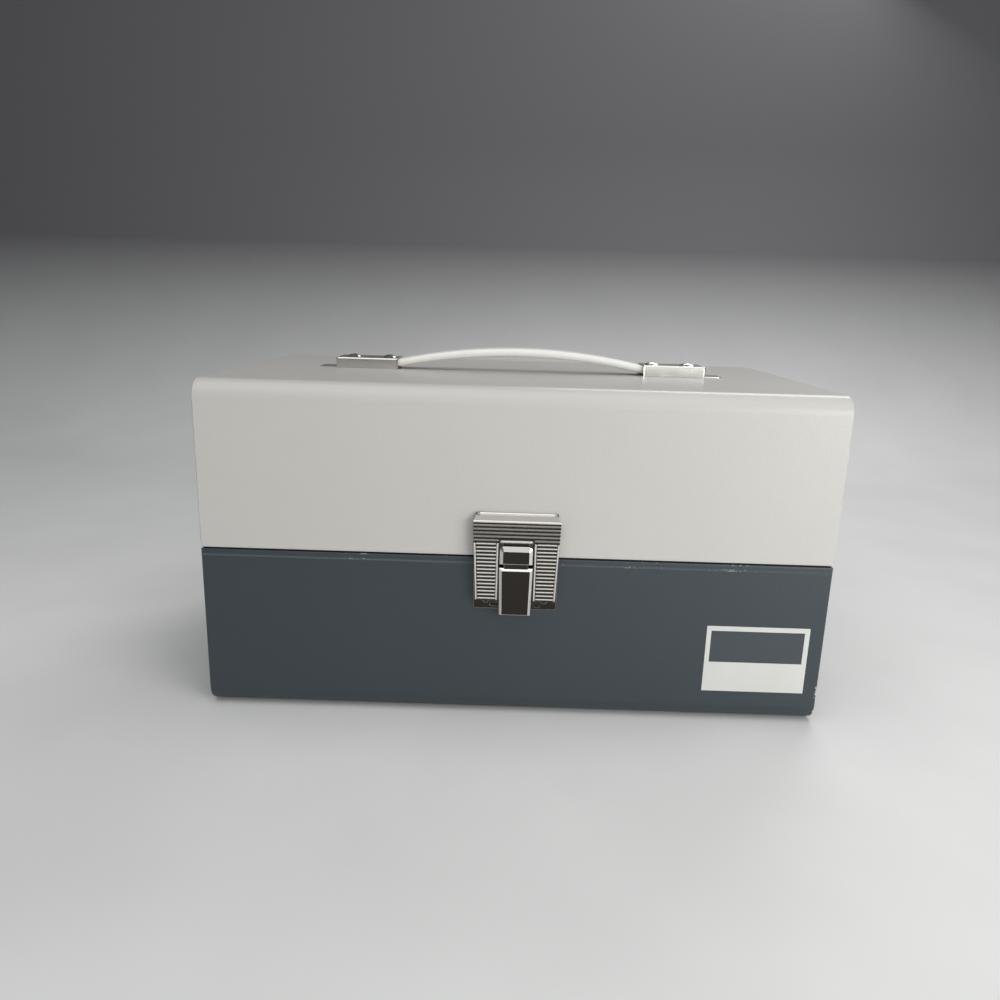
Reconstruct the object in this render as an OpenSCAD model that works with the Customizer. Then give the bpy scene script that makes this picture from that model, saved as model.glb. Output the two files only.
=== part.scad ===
// Photographic paper safe: a light-trapped sheet-steel case with a sprung front latch,
// slotted lid stays and a strap handle. The front faces -Y, up is +Z, and the origin is
// centred under the case on the plane of its feet.

/* [Case] */
// Width of the case
case_w = 368; // [330:1:420]
// Depth of the case, front face to rear face
case_d = 216; // [196:1:250]
// Height of the base, from its floor to its shoulder
base_h = 99; // [90:1:130]
// Height of the lid
lid_h = 97.6; // [80:1:130]
// Gap between the base's shoulder and the lid's edge
seam_gap = 1; // [0.8:0.1:2]
// Thickness of the sheet steel
wall = 1; // [0.8:0.1:1.4]
// Outer radius of the long bends
bend_r = 10.5; // [6:0.5:14]
// Width of the end panels' weld flanges
weld_flange = 10; // [8:1:14]

/* [Feet] */
// Height of the embossed feet
foot_h = 0.8; // [0.6:0.1:1.4]
// Radius of an embossed foot
foot_r = 8; // [6:1:12]
// Distance of the feet from the case's edges
foot_inset = 24; // [20:1:40]

/* [Light trap] */
// How far the lip rises above the shoulder
lip_rise = 12; // [8:1:16]
// Gap between the lip and the lid's wall
lip_gap = 1.6; // [1.5:0.1:2.4]
// Depth of the lip's skirt inside the base
lip_skirt = 10; // [8:1:14]
// Thickness of the felt seals
felt_t = 1; // [0.6:0.1:1.1]
// Height of the felt seals
felt_h = 7; // [4:0.5:8]

/* [Hinges] */
// Width of a hinge
hinge_w = 56; // [45:1:75]
// Height of each hinge leaf
leaf_h = 18; // [16:1:24]
// Thickness of a leaf
leaf_t = 1; // [0.8:0.1:1.2]
// Distance of the hinge axis behind the rear face
hinge_off = 3; // [2.8:0.1:4]
// Outer radius of the knuckles
knuckle_r = 2.6; // [2.4:0.1:2.6]
// Radius of the hinge pin
hinge_pin_r = 1.25; // [1:0.05:1.4]
// Distance of each hinge's middle from the nearer end of the case
hinge_inset = 74; // [60:1:110]

/* [Lid stays] */
// Distance of both studs from the hinge axis
stay_a = 60; // [55:1:64]
// Angle between the two studs about the hinge, lid closed
stay_start = 35; // [30:1:40]
// Angle of the slot stud below the level of the hinge
stud_drop = 5; // [4:1:8]
// Opening angle at which the stays stop the lid
lid_open = 100; // [90:1:105]
// Width of a stay
stay_w = 10; // [9:0.5:12]
// Thickness of a stay
stay_t = 1.2; // [1:0.1:1.4]
// Shank radius of the studs
stud_r = 2; // [1.8:0.1:2.2]

/* [Hasp] */
// Width of the hasp at its top
hasp_top_w = 50.4; // [46:0.2:56]
// Width of the hasp at the bottom of its legs
hasp_low_w = 46.6; // [43:0.2:50]
// How far the legs hang below the base's shoulder
hasp_drop = 24.2; // [20:0.2:28]
// Height of the hasp's front edge above the shoulder
hasp_rise = 23.2; // [20:0.1:24]
// Depth of the hasp, from the case's face to its own
hasp_depth = 5.8; // [5.4:0.1:6.2]
// Thickness of the hasp's metal
hasp_t = 0.9; // [0.7:0.1:1]
// Half of the width of the hasp's notch
notch_half = 10.3; // [10.2:0.1:11.2]
// Height of the notch's top above the shoulder
notch_rise = 10.8; // [10.4:0.1:12]
// Distance between the hasp's ribs
rib_pitch = 2.2; // [1.8:0.1:3]

/* [Catch] */
// Width of the catch plate
plate_w = 48.6; // [46:0.2:54]
// Thickness of the catch plate
plate_t = 1.2; // [1:0.1:1.4]
// How far the plate hangs below the shoulder
plate_drop = 30.8; // [29:0.2:34]
// Half of the width of the tongue at its top
tongue_half = 9.8; // [9:0.1:9.9]
// How far the tongue hangs below the shoulder
tongue_drop = 32.9; // [32:0.1:37]
// Distance of the tongue's face from the case
tongue_depth = 7.7; // [7.3:0.1:8.2]
// Half of the width of the button
button_half = 9.5; // [9:0.1:9.7]
// Height of the button's top above the shoulder
button_rise = 9; // [8.6:0.1:9.4]
// Radius of the rocker's pin
rocker_pin_r = 0.9; // [0.8:0.05:1]

/* [Handle] */
// Distance between the mouths of the two caps
cap_span = 164; // [140:1:168]
// Length of a cap
cap_l = 41.5; // [39:0.5:44]
// Width of a cap
cap_w = 24; // [22:0.5:28]
// Height of a cap
cap_h = 7.2; // [7:0.1:8]
// Length of a cap's end tab
tab_l = 12; // [8:0.5:14]
// Width of the strap
strap_w = 19; // [16:0.5:20]
// Thickness of the strap
strap_t = 4.4; // [3.6:0.1:4.6]
// Height of the strap's middle line above the lid
strap_rise = 13.1; // [13:0.1:14]
// Length of the part of the strap that stays stiff
grip_l = 96; // [70:1:110]
// Shank radius of the cap rivets
cap_rivet_r = 2; // [1.6:0.1:2.2]

/* [Hidden] */
$fn = 64;

// Small distance by which a cutter passes through what it cuts
eps = 0.5;
// Radial clearance of a pin or shank that turns or slides in its hole
run_fit = 0.06;
// Clearance of a rivet shank in a punched hole
punch_fit = 0.1;

// Levels, from the plane of the feet
floor_z = foot_h;
seam_z = floor_z + base_h;
lid_z = seam_z + seam_gap;
top_z = lid_z + lid_h;
front_y = -case_d / 2;
rear_y = case_d / 2;
axis_y = rear_y + hinge_off;
axis_z = seam_z + seam_gap / 2;

// The light trap's lip stands inside the lid's wall by the gap
lip_out_w = case_w - 2 * wall - 2 * lip_gap;
lip_out_d = case_d - 2 * wall - 2 * lip_gap;
lip_corner_r = 2;

// Profiles of the two pans, seen from the end

// Gap between a weld flange's end and the light trap's skirt
flange_gap = 0.5;

// Section with two round lower corners
module pan_section(depth, height, r) {
    translate([-depth / 2, r])
        square([depth, height - r]);
    translate([-depth / 2 + r, 0])
        square([depth - 2 * r, r + eps]);
    for (side = [-1, 1])
        translate([side * (depth / 2 - r), r])
            circle(r);
}

// Extrudes a section drawn in Y and Z along X, centred
module along_x(length) {
    rotate([90, 0, 90])
        linear_extrude(length, center = true)
            children();
}

// A wrap: one sheet bent to a U, its bends at the bottom
module wrap(height) {
    along_x(case_w)
        difference() {
            pan_section(case_d, height, bend_r);
            translate([0, wall])
                pan_section(case_d - 2 * wall, height, bend_r - wall);
        }
}

// An end panel that fills the wrap's mouth, with a flange turned inwards for the welds
// that stops short of the open edge
module end_panel(height, flange_stop) {
    translate([case_w / 2 - wall / 2, 0, 0])
        along_x(wall)
            translate([0, wall])
                pan_section(case_d - 2 * wall, height - wall, bend_r - wall);
    translate([case_w / 2 - wall - weld_flange / 2, 0, 0])
        along_x(weld_flange)
            difference() {
                translate([0, wall])
                    pan_section(case_d - 2 * wall, height - wall - flange_stop, bend_r - wall);
                translate([0, 2 * wall])
                    pan_section(case_d - 4 * wall, height, bend_r - 2 * wall);
            }
}

// Ring with rounded vertical corners
module ring(width, depth, sheet, height) {
    difference() {
        rounded_block(width, depth, lip_corner_r + sheet, height);
        translate([0, 0, -eps])
            rounded_block(width - 2 * sheet, depth - 2 * sheet, lip_corner_r, height + 2 * eps);
    }
}

// Upright block with rounded vertical corners, centred on Z
module rounded_block(width, depth, r, height) {
    linear_extrude(height)
        rounded_rectangle(width, depth, r);
}

module rounded_rectangle(width, depth, r) {
    square([width, depth - 2 * r], center = true);
    square([width - 2 * r, depth], center = true);
    for (x = [-1, 1], y = [-1, 1])
        translate([x * (width / 2 - r), y * (depth / 2 - r)])
            circle(r);
}

// Rivet along +Z: a low dome above the origin, its shank and its peened tail below
module rivet(shank_r, head_r, head_h, grip, tail_r, tail_h) {
    dome(head_r, head_h);
    translate([0, 0, -grip - tail_h / 2])
        cylinder(r = shank_r, h = grip + tail_h / 2 + head_h / 2);
    translate([0, 0, -grip])
        mirror([0, 0, 1])
            dome(tail_r, tail_h);
}

// Cap of a sphere that stands on a circle of radius r
module dome(r, h) {
    ball_r = (r * r + h * h) / (2 * h);
    intersection() {
        translate([0, 0, h - ball_r])
            sphere(ball_r);
        cylinder(r = r + eps, h = h + eps);
    }
}

// Case

base_color = "slategray";
lid_color = "gainsboro";
plated_color = "silver";
steel_color = "darkgray";

module base_wrap() {
    color(base_color)
        translate([0, 0, floor_z])
            difference() {
                union() {
                    wrap(base_h);
                    feet(foot_r, -foot_h);
                }
                translate([0, 0, wall - foot_h])
                    feet(foot_r - wall, 0);
                rivet_holes_base();
            }
}

// Round pads at the four corners of the floor, one foot high from the given level
module feet(r, level) {
    for (x = [-1, 1], y = [-1, 1])
        translate([x * (case_w / 2 - foot_inset), y * (case_d / 2 - foot_inset), level])
            cylinder(r = r, h = foot_h + (level < 0 ? wall / 2 : eps));
}

module base_end(side) {
    color(base_color)
        translate([0, 0, floor_z])
            mirror([side < 0 ? 1 : 0, 0, 0])
                end_panel(base_h, lip_skirt + flange_gap);
}

module light_trap_frame() {
    color(steel_color)
        difference() {
            union() {
                translate([0, 0, seam_z - lip_skirt])
                    ring(case_w - 2 * wall, case_d - 2 * wall, wall, lip_skirt);
                translate([0, 0, seam_z - wall])
                    ring(case_w - 2 * wall, case_d - 2 * wall, lip_gap + wall, wall);
                translate([0, 0, seam_z - wall])
                    ring(lip_out_w, lip_out_d, wall, wall + lip_rise);
            }
            stay_stud_holes();
        }
}

// Holes for the slot studs through the skirt of the light trap
module stay_stud_holes() {
    translate([0, slot_stud_y, slot_stud_z])
        rotate([0, 90, 0])
            cylinder(r = stud_r + punch_fit, h = case_w, center = true);
}

// Height of the seals above the shoulder
seal_foot = 1.5;
seal_z = seam_z + seal_foot;
seal_end_gap = lip_corner_r + 2 * wall;

module seal_across(side) {
    color("black")
        translate([0, side * (lip_out_d / 2 + felt_t / 2), seal_z + felt_h / 2])
            cube([lip_out_w - 2 * seal_end_gap, felt_t, felt_h], center = true);
}

module seal_along(side) {
    color("black")
        translate([side * (lip_out_w / 2 + felt_t / 2), 0, seal_z + felt_h / 2])
            cube([felt_t, lip_out_d - 2 * seal_end_gap, felt_h], center = true);
}

module lid_wrap() {
    color(lid_color)
        difference() {
            translate([0, 0, top_z])
                mirror([0, 0, 1])
                    wrap(lid_h);
            rivet_holes_lid();
        }
}

module lid_end(side) {
    color(lid_color)
        translate([0, 0, top_z])
            mirror([0, 0, 1])
                mirror([side < 0 ? 1 : 0, 0, 0])
                    end_panel(lid_h, lip_rise + 2 * wall);
}

// Hinges

hinge_x = case_w / 2 - hinge_inset;
knuckles = 5;
knuckle_gap = 0.3;
knuckle_l = (hinge_w + knuckle_gap) / knuckles;
// Room between a knuckle and the other leaf
leaf_clear = 0.4;
// Distances of the hinge rivets from the leaf's ends and from its long edge
hinge_rivet_end = 8;
hinge_rivet_edge = 5;
hinge_rivet_x = hinge_w / 2 - hinge_rivet_end;
hinge_rivet_drop = leaf_h - hinge_rivet_edge;
hinge_rivet_r = 1.3;
hinge_rivet_head_r = 2.6;
hinge_rivet_head_h = 1;
hinge_rivet_tail_r = 2.2;
hinge_rivet_tail_h = 0.7;
// How much longer the pin is than its hinge
hinge_pin_over = 1;

// A leaf that hangs down from the hinge axis, on the origin; first is its first knuckle
module hinge_leaf(first, bore_r) {
    difference() {
        union() {
            translate([-hinge_w / 2, -hinge_off, -leaf_h])
                cube([hinge_w, leaf_t, leaf_h - knuckle_r - leaf_clear]);
            for (i = [first : 2 : knuckles - 1])
                translate([-hinge_w / 2 + i * knuckle_l, 0, 0])
                    knuckle();
        }
        rotate([0, 90, 0])
            cylinder(r = bore_r, h = hinge_w + 2 * eps, center = true);
        for (x = [-1, 0, 1])
            translate([x * hinge_rivet_x, -hinge_off - eps, -hinge_rivet_drop])
                rotate([-90, 0, 0])
                    cylinder(r = hinge_rivet_r + punch_fit, h = leaf_t + 2 * eps);
    }
}

module knuckle() {
    knuckle_len = knuckle_l - knuckle_gap;
    rotate([0, 90, 0])
        cylinder(r = knuckle_r, h = knuckle_len);
    translate([0, -hinge_off, -leaf_h / 2])
        cube([knuckle_len, leaf_t, leaf_h / 2]);
}

module base_hinge_leaf(side) {
    color(plated_color)
        translate([side * hinge_x, axis_y, axis_z])
            hinge_leaf(0, hinge_pin_r);
}

module lid_hinge_leaf(side) {
    color(plated_color)
        translate([side * hinge_x, axis_y, axis_z])
            mirror([0, 0, 1])
                hinge_leaf(1, hinge_pin_r + run_fit);
}

module hinge_pin(side) {
    color(steel_color)
        translate([side * hinge_x, axis_y, axis_z])
            rotate([0, 90, 0])
                cylinder(r = hinge_pin_r, h = hinge_w + hinge_pin_over, center = true);
}

// Three rivets through each leaf, at a height above or below the axis
module hinge_rivets(height) {
    for (side = [-1, 1], x = [-1, 0, 1])
        translate([side * hinge_x + x * hinge_rivet_x, rear_y + leaf_t, axis_z + height])
            rotate([-90, 0, 0])
                rivet(hinge_rivet_r, hinge_rivet_head_r, hinge_rivet_head_h, leaf_t + wall,
                    hinge_rivet_tail_r, hinge_rivet_tail_h);
}

module base_hinge_rivets() {
    color(plated_color)
        hinge_rivets(-hinge_rivet_drop);
}

module lid_hinge_rivets() {
    color(plated_color)
        hinge_rivets(hinge_rivet_drop);
}

// Lid stays: both studs are as far from the hinge axis as each other, so the stay turns
// by half of the lid's angle and the slot stud keeps to the middle line of the slot

pivot_angle = 180 + stud_drop - stay_start;
slot_angle = 180 + stud_drop;
pivot_stud_y = axis_y + stay_a * cos(pivot_angle);
pivot_stud_z = axis_z + stay_a * sin(pivot_angle);
slot_stud_y = axis_y + stay_a * cos(slot_angle);
slot_stud_z = axis_z + stay_a * sin(slot_angle);
stay_angle = (pivot_angle + slot_angle) / 2 + 90;
// Distances of the slot stud from the pivot, lid closed and lid open
slot_from = 2 * stay_a * sin(stay_start / 2);
slot_to = 2 * stay_a * sin((stay_start + lid_open) / 2);
slot_slack = 0.5;
slot_fit = 0.15;
// Clearance of a stay from the lip outside it and from the stud heads inside it
stay_clear = 0.5;
// How far a stud's spacer and its head stand out around the shank
stud_spacer_rim = 1.2;
stud_head_rim = 1.6;
stay_out_x = lip_out_w / 2 - wall - stay_clear;
stud_head_t = 0.9;

module stay(side) {
    color(steel_color)
        translate([side * (stay_out_x - stay_t / 2), pivot_stud_y, pivot_stud_z])
            rotate([stay_angle, 0, 0])
                rotate([90, 0, 90])
                    linear_extrude(stay_t, center = true)
                        stay_outline();
}

// The stay lies along +X here, its pivot on the origin
module stay_outline() {
    end = slot_to + slot_slack + stay_w / 2;
    difference() {
        union() {
            circle(stay_w / 2);
            translate([0, -stay_w / 2])
                square([end, stay_w]);
            translate([end, 0])
                circle(stay_w / 2);
        }
        circle(stud_r + run_fit);
        slot(slot_from - slot_slack, slot_to + slot_slack, stud_r + slot_fit);
    }
}

// Slot along X between two centres
module slot(from, to, r) {
    translate([from, -r])
        square([to - from, 2 * r]);
    for (x = [from, to])
        translate([x, 0])
            circle(r);
}

// A stud welded to a wall at the given X, with a spacer, a shank and a head
module stay_stud(side, wall_x, y, z) {
    spacer_x = stay_out_x + stay_clear;
    head_x = stay_out_x - stay_t - stay_clear;
    translate([0, y, z])
        mirror([side < 0 ? 1 : 0, 0, 0])
            rotate([0, 90, 0]) {
                translate([0, 0, spacer_x])
                    cylinder(r = stud_r + stud_spacer_rim, h = wall_x - spacer_x);
                translate([0, 0, head_x - eps])
                    cylinder(r = stud_r, h = spacer_x - head_x + 2 * eps);
                translate([0, 0, head_x - stud_head_t])
                    cylinder(r = stud_r + stud_head_rim, h = stud_head_t);
            }
}

module stay_pivot_studs() {
    color(plated_color)
        for (side = [-1, 1])
            stay_stud(side, case_w / 2 - wall, pivot_stud_y, pivot_stud_z);
}

module stay_slot_studs() {
    color(plated_color)
        for (side = [-1, 1])
            stay_stud(side, case_w / 2 - 2 * wall, slot_stud_y, slot_stud_z);
}

// Latch: depths are measured outwards from the case's front face

// Extrudes a section drawn in depth and height above the shoulder along X, centred
module latch_section(width) {
    translate([0, front_y, seam_z])
        mirror([0, 1, 0])
            along_x(width)
                children();
}

// Extrudes an outline drawn in X and height above the shoulder between two depths
module latch_face(from, to) {
    translate([0, front_y - from, seam_z])
        rotate([90, 0, 0])
            linear_extrude(to - from)
                children();
}

// Round bar along X at a depth and a height above the shoulder
module latch_bar(depth, height, r, width) {
    translate([0, front_y - depth, seam_z + height])
        rotate([0, 90, 0])
            cylinder(r = r, h = width, center = true);
}

// The hasp's pin lies close to the lid, at the rear top edge
hasp_pin_r = 0.55;
hasp_barrel_r = 1.15;
hasp_ear_r = 0.9;
hasp_pin_depth = hasp_barrel_r;
// Height of the hipped top, from the front edge to the pin's axis
hip_h = 3.4;
hasp_pin_rise = hasp_rise + hip_h;
hasp_back = 1.6;
// The hipped top's rear edge stands clear of the bracket's barrel and a little below the pin
barrel_room = 0.3;
hip_room = 0.4;
hip_depth = hasp_pin_depth + hasp_barrel_r + hip_room;
hip_rise = hasp_pin_rise - hip_room;
// How much shorter the hipped top's rear edge is at each end
hip_end = 1.6;
hasp_side = (hasp_top_w - hasp_low_w) / 2 / (hasp_rise + hasp_drop);
hasp_margin = 1.1;
rib_r = 0.45;
// Beads pressed along both sides of each leg: their width, height and distance from the edge
leg_bead_w = 1;
leg_bead_t = 0.45;
leg_bead_edge = 0.2;
// Bead pressed along the notch's top edge
brow_t = 0.5;
brow_h = 1.3;
brow_rise = 0.2;
brow_end = 1;
rib_count = floor((hasp_rise + hasp_drop - 2 * hasp_margin) / rib_pitch);

// Front outline of the hasp, drawn in by an inset; the hipped top leans in as well
module hasp_outline(inset) {
    low = -hasp_drop - (inset > 0 ? eps : 0);
    half_low = hasp_low_w / 2 - inset;
    half_top = hasp_top_w / 2 - inset;
    half_hip = half_top - hip_end;
    polygon([
        [-half_low, low],
        [half_low, low],
        [half_top, hasp_rise],
        [half_hip, hip_rise + inset],
        [-half_hip, hip_rise + inset],
        [-half_top, hasp_rise]
    ]);
}

// Section of the hasp through its hipped top
module hasp_section(inset) {
    polygon([
        [hasp_back - (inset > 0 ? eps : 0), -hasp_drop - inset],
        [hasp_depth - inset, -hasp_drop - inset],
        [hasp_depth - inset, hasp_rise - inset / 2],
        [hip_depth - inset / 2, hip_rise - inset],
        [hip_depth - inset / 2 - (inset > 0 ? eps : 0), hip_rise + inset],
        [hasp_back - (inset > 0 ? eps : 0), hip_rise + inset]
    ]);
}

module hasp_form(inset) {
    intersection() {
        latch_section(hasp_top_w)
            hasp_section(inset);
        latch_face(0, hasp_depth + eps)
            hasp_outline(inset);
    }
}

module hasp() {
    color(plated_color) {
        difference() {
            union() {
                difference() {
                    hasp_form(0);
                    hasp_form(hasp_t);
                }
                hasp_ribs();
                leg_beads();
                latch_face(hasp_depth - hasp_t / 2, hasp_depth + brow_t)
                    translate([brow_end - notch_half, notch_rise + brow_rise])
                        square([2 * (notch_half - brow_end), brow_h]);
                notch_flanges();
                hasp_ears();
            }
            latch_face(0, hasp_depth + brow_t + eps)
                translate([-notch_half, -hasp_drop - eps])
                    square([2 * notch_half, hasp_drop + eps + notch_rise]);
            latch_bar(hasp_pin_depth, hasp_pin_rise, hasp_pin_r, hasp_top_w + 2 * eps);
            latch_bar(hasp_pin_depth, hasp_pin_rise, hasp_barrel_r + barrel_room,
                2 * (bracket_half + barrel_room));
        }
    }
}

// Half-round ribs across the hasp's face, each as long as the face is wide there
module hasp_ribs() {
    for (i = [1 : rib_count]) {
        level = hasp_rise - hasp_margin - (i - 0.5) * rib_pitch;
        half = hasp_top_w / 2 - (hasp_rise - level) * hasp_side - hasp_margin;
        latch_bar(hasp_depth, level, rib_r, 2 * half);
    }
}

// Beads that frame the ribs of each leg, up to the level of the notch
module leg_beads() {
    low = hasp_margin - hasp_drop;
    inner = notch_half + leg_bead_edge;
    outer_low = hasp_low_w / 2 + hasp_margin * hasp_side - leg_bead_edge;
    outer_top = hasp_top_w / 2 - (hasp_rise - notch_rise) * hasp_side - leg_bead_edge;
    for (side = [0, 1])
        mirror([side, 0, 0])
            latch_face(hasp_depth - hasp_t / 2, hasp_depth + leg_bead_t) {
                translate([inner, low])
                    square([leg_bead_w, notch_rise - low]);
                polygon([
                    [outer_low - leg_bead_w, low],
                    [outer_low, low],
                    [outer_top, notch_rise],
                    [outer_top - leg_bead_w, notch_rise]
                ]);
            }
}

// Returns bent back along both sides of the notch
module notch_flanges() {
    for (side = [-1, 1])
        latch_face(hasp_back, hasp_depth)
            translate([side * (notch_half + hasp_t / 2), (notch_rise - hasp_drop) / 2])
                square([hasp_t, notch_rise + hasp_drop], center = true);
}

// How far the ears' webs reach down inside the hasp
ear_web = 2;

// Ears that carry the pin past both ends of the bracket's barrel
module hasp_ears() {
    for (side = [-1, 1])
        translate([side * (hasp_top_w / 2 - hip_end - hasp_t), front_y, seam_z])
            mirror([0, 1, 0])
                along_x(hasp_t) {
                    translate([hasp_pin_depth, hasp_pin_rise])
                        circle(hasp_ear_r);
                    polygon([
                        [hasp_pin_depth - hasp_ear_r, hasp_pin_rise],
                        [hasp_pin_depth + hasp_ear_r / 2, hasp_pin_rise + hasp_ear_r / 2],
                        [hip_depth + ear_web / 2, hip_rise - ear_web / 2],
                        [hasp_depth - hasp_t, hasp_rise - ear_web],
                        [hasp_back, hasp_rise - ear_web]
                    ]);
                }
}

module hasp_pin() {
    color(steel_color)
        latch_bar(hasp_pin_depth, hasp_pin_rise, hasp_pin_r, hasp_top_w - 2 * hip_end - hasp_t);
}

bracket_t = 0.7;
// Gap between the bracket's barrel and each ear of the hasp
bracket_end_gap = 0.5;
bracket_half = hasp_top_w / 2 - hip_end - 2 * hasp_t - bracket_end_gap;
// Height of the bracket's foot above the notch, and of its rivets above that foot
bracket_over = 3.6;
bracket_rivet_edge = 3.2;
bracket_foot = notch_rise + bracket_over;
bracket_rivet_x = 15;
bracket_rivet_rise = bracket_foot + bracket_rivet_edge;
// Rivets of the bracket and of the catch plate
latch_rivet_r = 1.2;
latch_rivet_head_r = 2.3;
latch_rivet_head_h = 0.7;
latch_rivet_tail_r = 2;
latch_rivet_tail_h = 0.6;

// Rivet out of the front face through a sheet of that thickness and the case's wall
module latch_rivet(sheet) {
    rotate([90, 0, 0])
        rivet(latch_rivet_r, latch_rivet_head_r, latch_rivet_head_h, sheet + wall,
            latch_rivet_tail_r, latch_rivet_tail_h);
}

module hasp_bracket() {
    color(plated_color)
        difference() {
            union() {
                latch_face(0, bracket_t)
                    translate([-bracket_half, bracket_foot])
                        square([2 * bracket_half, hasp_pin_rise - bracket_foot]);
                latch_bar(hasp_pin_depth, hasp_pin_rise, hasp_barrel_r, 2 * bracket_half);
            }
            latch_bar(hasp_pin_depth, hasp_pin_rise, hasp_pin_r + run_fit, hasp_top_w);
            bracket_rivet_holes();
        }
}

module bracket_rivet_holes() {
    for (side = [-1, 1])
        translate([side * bracket_rivet_x, front_y, seam_z + bracket_rivet_rise])
            rotate([90, 0, 0])
                cylinder(r = latch_rivet_r + punch_fit, h = 2 * (bracket_t + wall + eps), center = true);
}

module hasp_bracket_rivets() {
    color(plated_color)
        for (side = [-1, 1])
            translate([
                side * bracket_rivet_x, front_y - bracket_t, seam_z + bracket_rivet_rise
            ])
                latch_rivet(bracket_t);
}

// Catch

rocker_depth = 3.6;
rocker_drop = 5.6;
rocker_barrel_r = 1.9;
ear_in = 7.2;
ear_t = 1.2;
ear_r = 2.2;
// The tongue is cut away over the plate's ears, with this room beside them and this far down
ear_room = 0.4;
ear_cut = 8;
rocker_end_gap = 0.3;
rocker_half = ear_in - rocker_end_gap;
// The caps' metal, and the depth of its inner face
skin_t = 0.8;
leaf_in = tongue_depth - skin_t;
plate_top_gap = 0.6;
plate_corner_r = 1.5;
plate_rivet_x = 17;
plate_rivet_drops = [15.5, 25];
bead_l = 29;
bead_r = 1;
bead_sink = 0.2;
bead_margin = 2.4;

module catch_plate() {
    color(plated_color)
        difference() {
            union() {
                latch_face(0, plate_t)
                    translate([0, -(plate_drop + plate_top_gap) / 2])
                        rounded_rectangle(plate_w, plate_drop - plate_top_gap, plate_corner_r);
                plate_bead();
                for (side = [-1, 1])
                    plate_ear(side);
            }
            latch_bar(rocker_depth, -rocker_drop, rocker_pin_r, plate_w);
            plate_rivet_holes();
        }
}

// Bead pressed across the foot of the plate
module plate_bead() {
    latch_bar(plate_t - bead_sink, bead_margin - plate_drop, bead_r, bead_l);
}

module plate_ear(side) {
    translate([side * (ear_in + ear_t / 2), front_y, seam_z])
        mirror([0, 1, 0])
            along_x(ear_t) {
                translate([rocker_depth, -rocker_drop])
                    circle(ear_r);
                translate([0, -rocker_drop - ear_r])
                    square([rocker_depth, 2 * ear_r]);
            }
}

module plate_rivet_holes() {
    for (side = [-1, 1], drop = plate_rivet_drops)
        translate([side * plate_rivet_x, front_y, seam_z - drop])
            rotate([90, 0, 0])
                cylinder(r = latch_rivet_r + punch_fit, h = 2 * (plate_t + wall + eps), center = true);
}

module catch_plate_rivets() {
    color(plated_color)
        for (side = [-1, 1], drop = plate_rivet_drops)
            translate([side * plate_rivet_x, front_y - plate_t, seam_z - drop])
                latch_rivet(plate_t);
}

module rocker_pin() {
    color(steel_color)
        latch_bar(rocker_depth, -rocker_drop, rocker_pin_r, 2 * (ear_in + ear_t));
}

// Rocker: a barrel on the pin, an arm down behind the tongue, an arm up behind the
// button, and a nose behind the hasp's plate
nose_half = 7.6;
// How far the nose reaches above the notch, and its gap behind the hasp's metal
nose_bite = 1.4;
nose_gap = 0.4;
nose_rise = notch_rise + nose_bite;
nose_depth = hasp_depth - hasp_t - nose_gap;
arm_t = 0.9;
// How far the arms stop short of the tongue's foot and of the button's top
arm_foot = 5;
arm_head = 4;

module catch_rocker() {
    color(plated_color)
        difference() {
            union() {
                latch_bar(rocker_depth, -rocker_drop, rocker_barrel_r, 2 * rocker_half);
                latch_section(2 * rocker_half)
                    rocker_section();
                latch_section(2 * nose_half)
                    nose_section();
            }
            latch_bar(rocker_depth, -rocker_drop, rocker_pin_r + run_fit, plate_w);
        }
}

module rocker_section() {
    polygon([
        [leaf_in - arm_t, arm_foot - tongue_drop],
        [leaf_in, arm_foot - tongue_drop],
        [leaf_in, button_rise - arm_head],
        [leaf_in - arm_t, button_rise - arm_head],
        [leaf_in - arm_t, rocker_barrel_r - rocker_drop],
        [rocker_depth, rocker_barrel_r - rocker_drop],
        [rocker_depth, -rocker_barrel_r - rocker_drop],
        [leaf_in - arm_t, -rocker_barrel_r - rocker_drop]
    ]);
}

module nose_section() {
    shelf = button_rise - arm_head - arm_t;
    polygon([
        [leaf_in - arm_t / 2, shelf],
        [leaf_in - arm_t / 2, shelf + arm_t],
        [nose_depth, shelf + arm_t],
        [nose_depth, nose_rise],
        [nose_depth - arm_t, nose_rise],
        [nose_depth - arm_t, shelf]
    ]);
}

spring_t = 0.25;
spring_half = 4;
// The spring's foot and its bend, below and above the pin, and its gap to the arm
spring_foot = 9;
spring_bend = 3;
spring_gap = 0.3;
spring_tip = 6;

// Leaf spring: flat on the plate below the pin, then bent out to bear on the upper arm
module catch_spring() {
    color(steel_color)
        latch_section(2 * spring_half)
            polygon([
                [plate_t, -rocker_drop - spring_foot],
                [plate_t + spring_t, -rocker_drop - spring_foot],
                [plate_t + spring_t, -rocker_drop + spring_bend],
                [leaf_in - arm_t - spring_gap, button_rise - spring_tip],
                [leaf_in - arm_t - spring_gap, button_rise - spring_tip + spring_t],
                [plate_t, -rocker_drop + spring_bend + spring_t]
            ]);
}

// Both caps' faces are narrower than their sides by the bevel, which is this deep
bevel = 1.8;
bevel_depth = 1.4;
tongue_top = -4.4;
tongue_taper = 0.65;
tongue_low_half = tongue_half - tongue_taper;
tongue_edge = 0.8;
tongue_foot_edge = 1.2;

// Depth at which both caps end, a small gap in front of the rocker's nose
nose_front_gap = 0.2;
cap_back = nose_depth + nose_front_gap;

// Plan of a bevelled cap
module bevel_plan(half, inset) {
    polygon([
        [-half + inset, cap_back - (inset > 0 ? eps : 0)],
        [-half + inset, tongue_depth - bevel_depth - inset / 2],
        [-half + bevel + inset / 2, tongue_depth - inset],
        [half - bevel - inset / 2, tongue_depth - inset],
        [half - inset, tongue_depth - bevel_depth - inset / 2],
        [half - inset, cap_back - (inset > 0 ? eps : 0)]
    ]);
}

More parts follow.
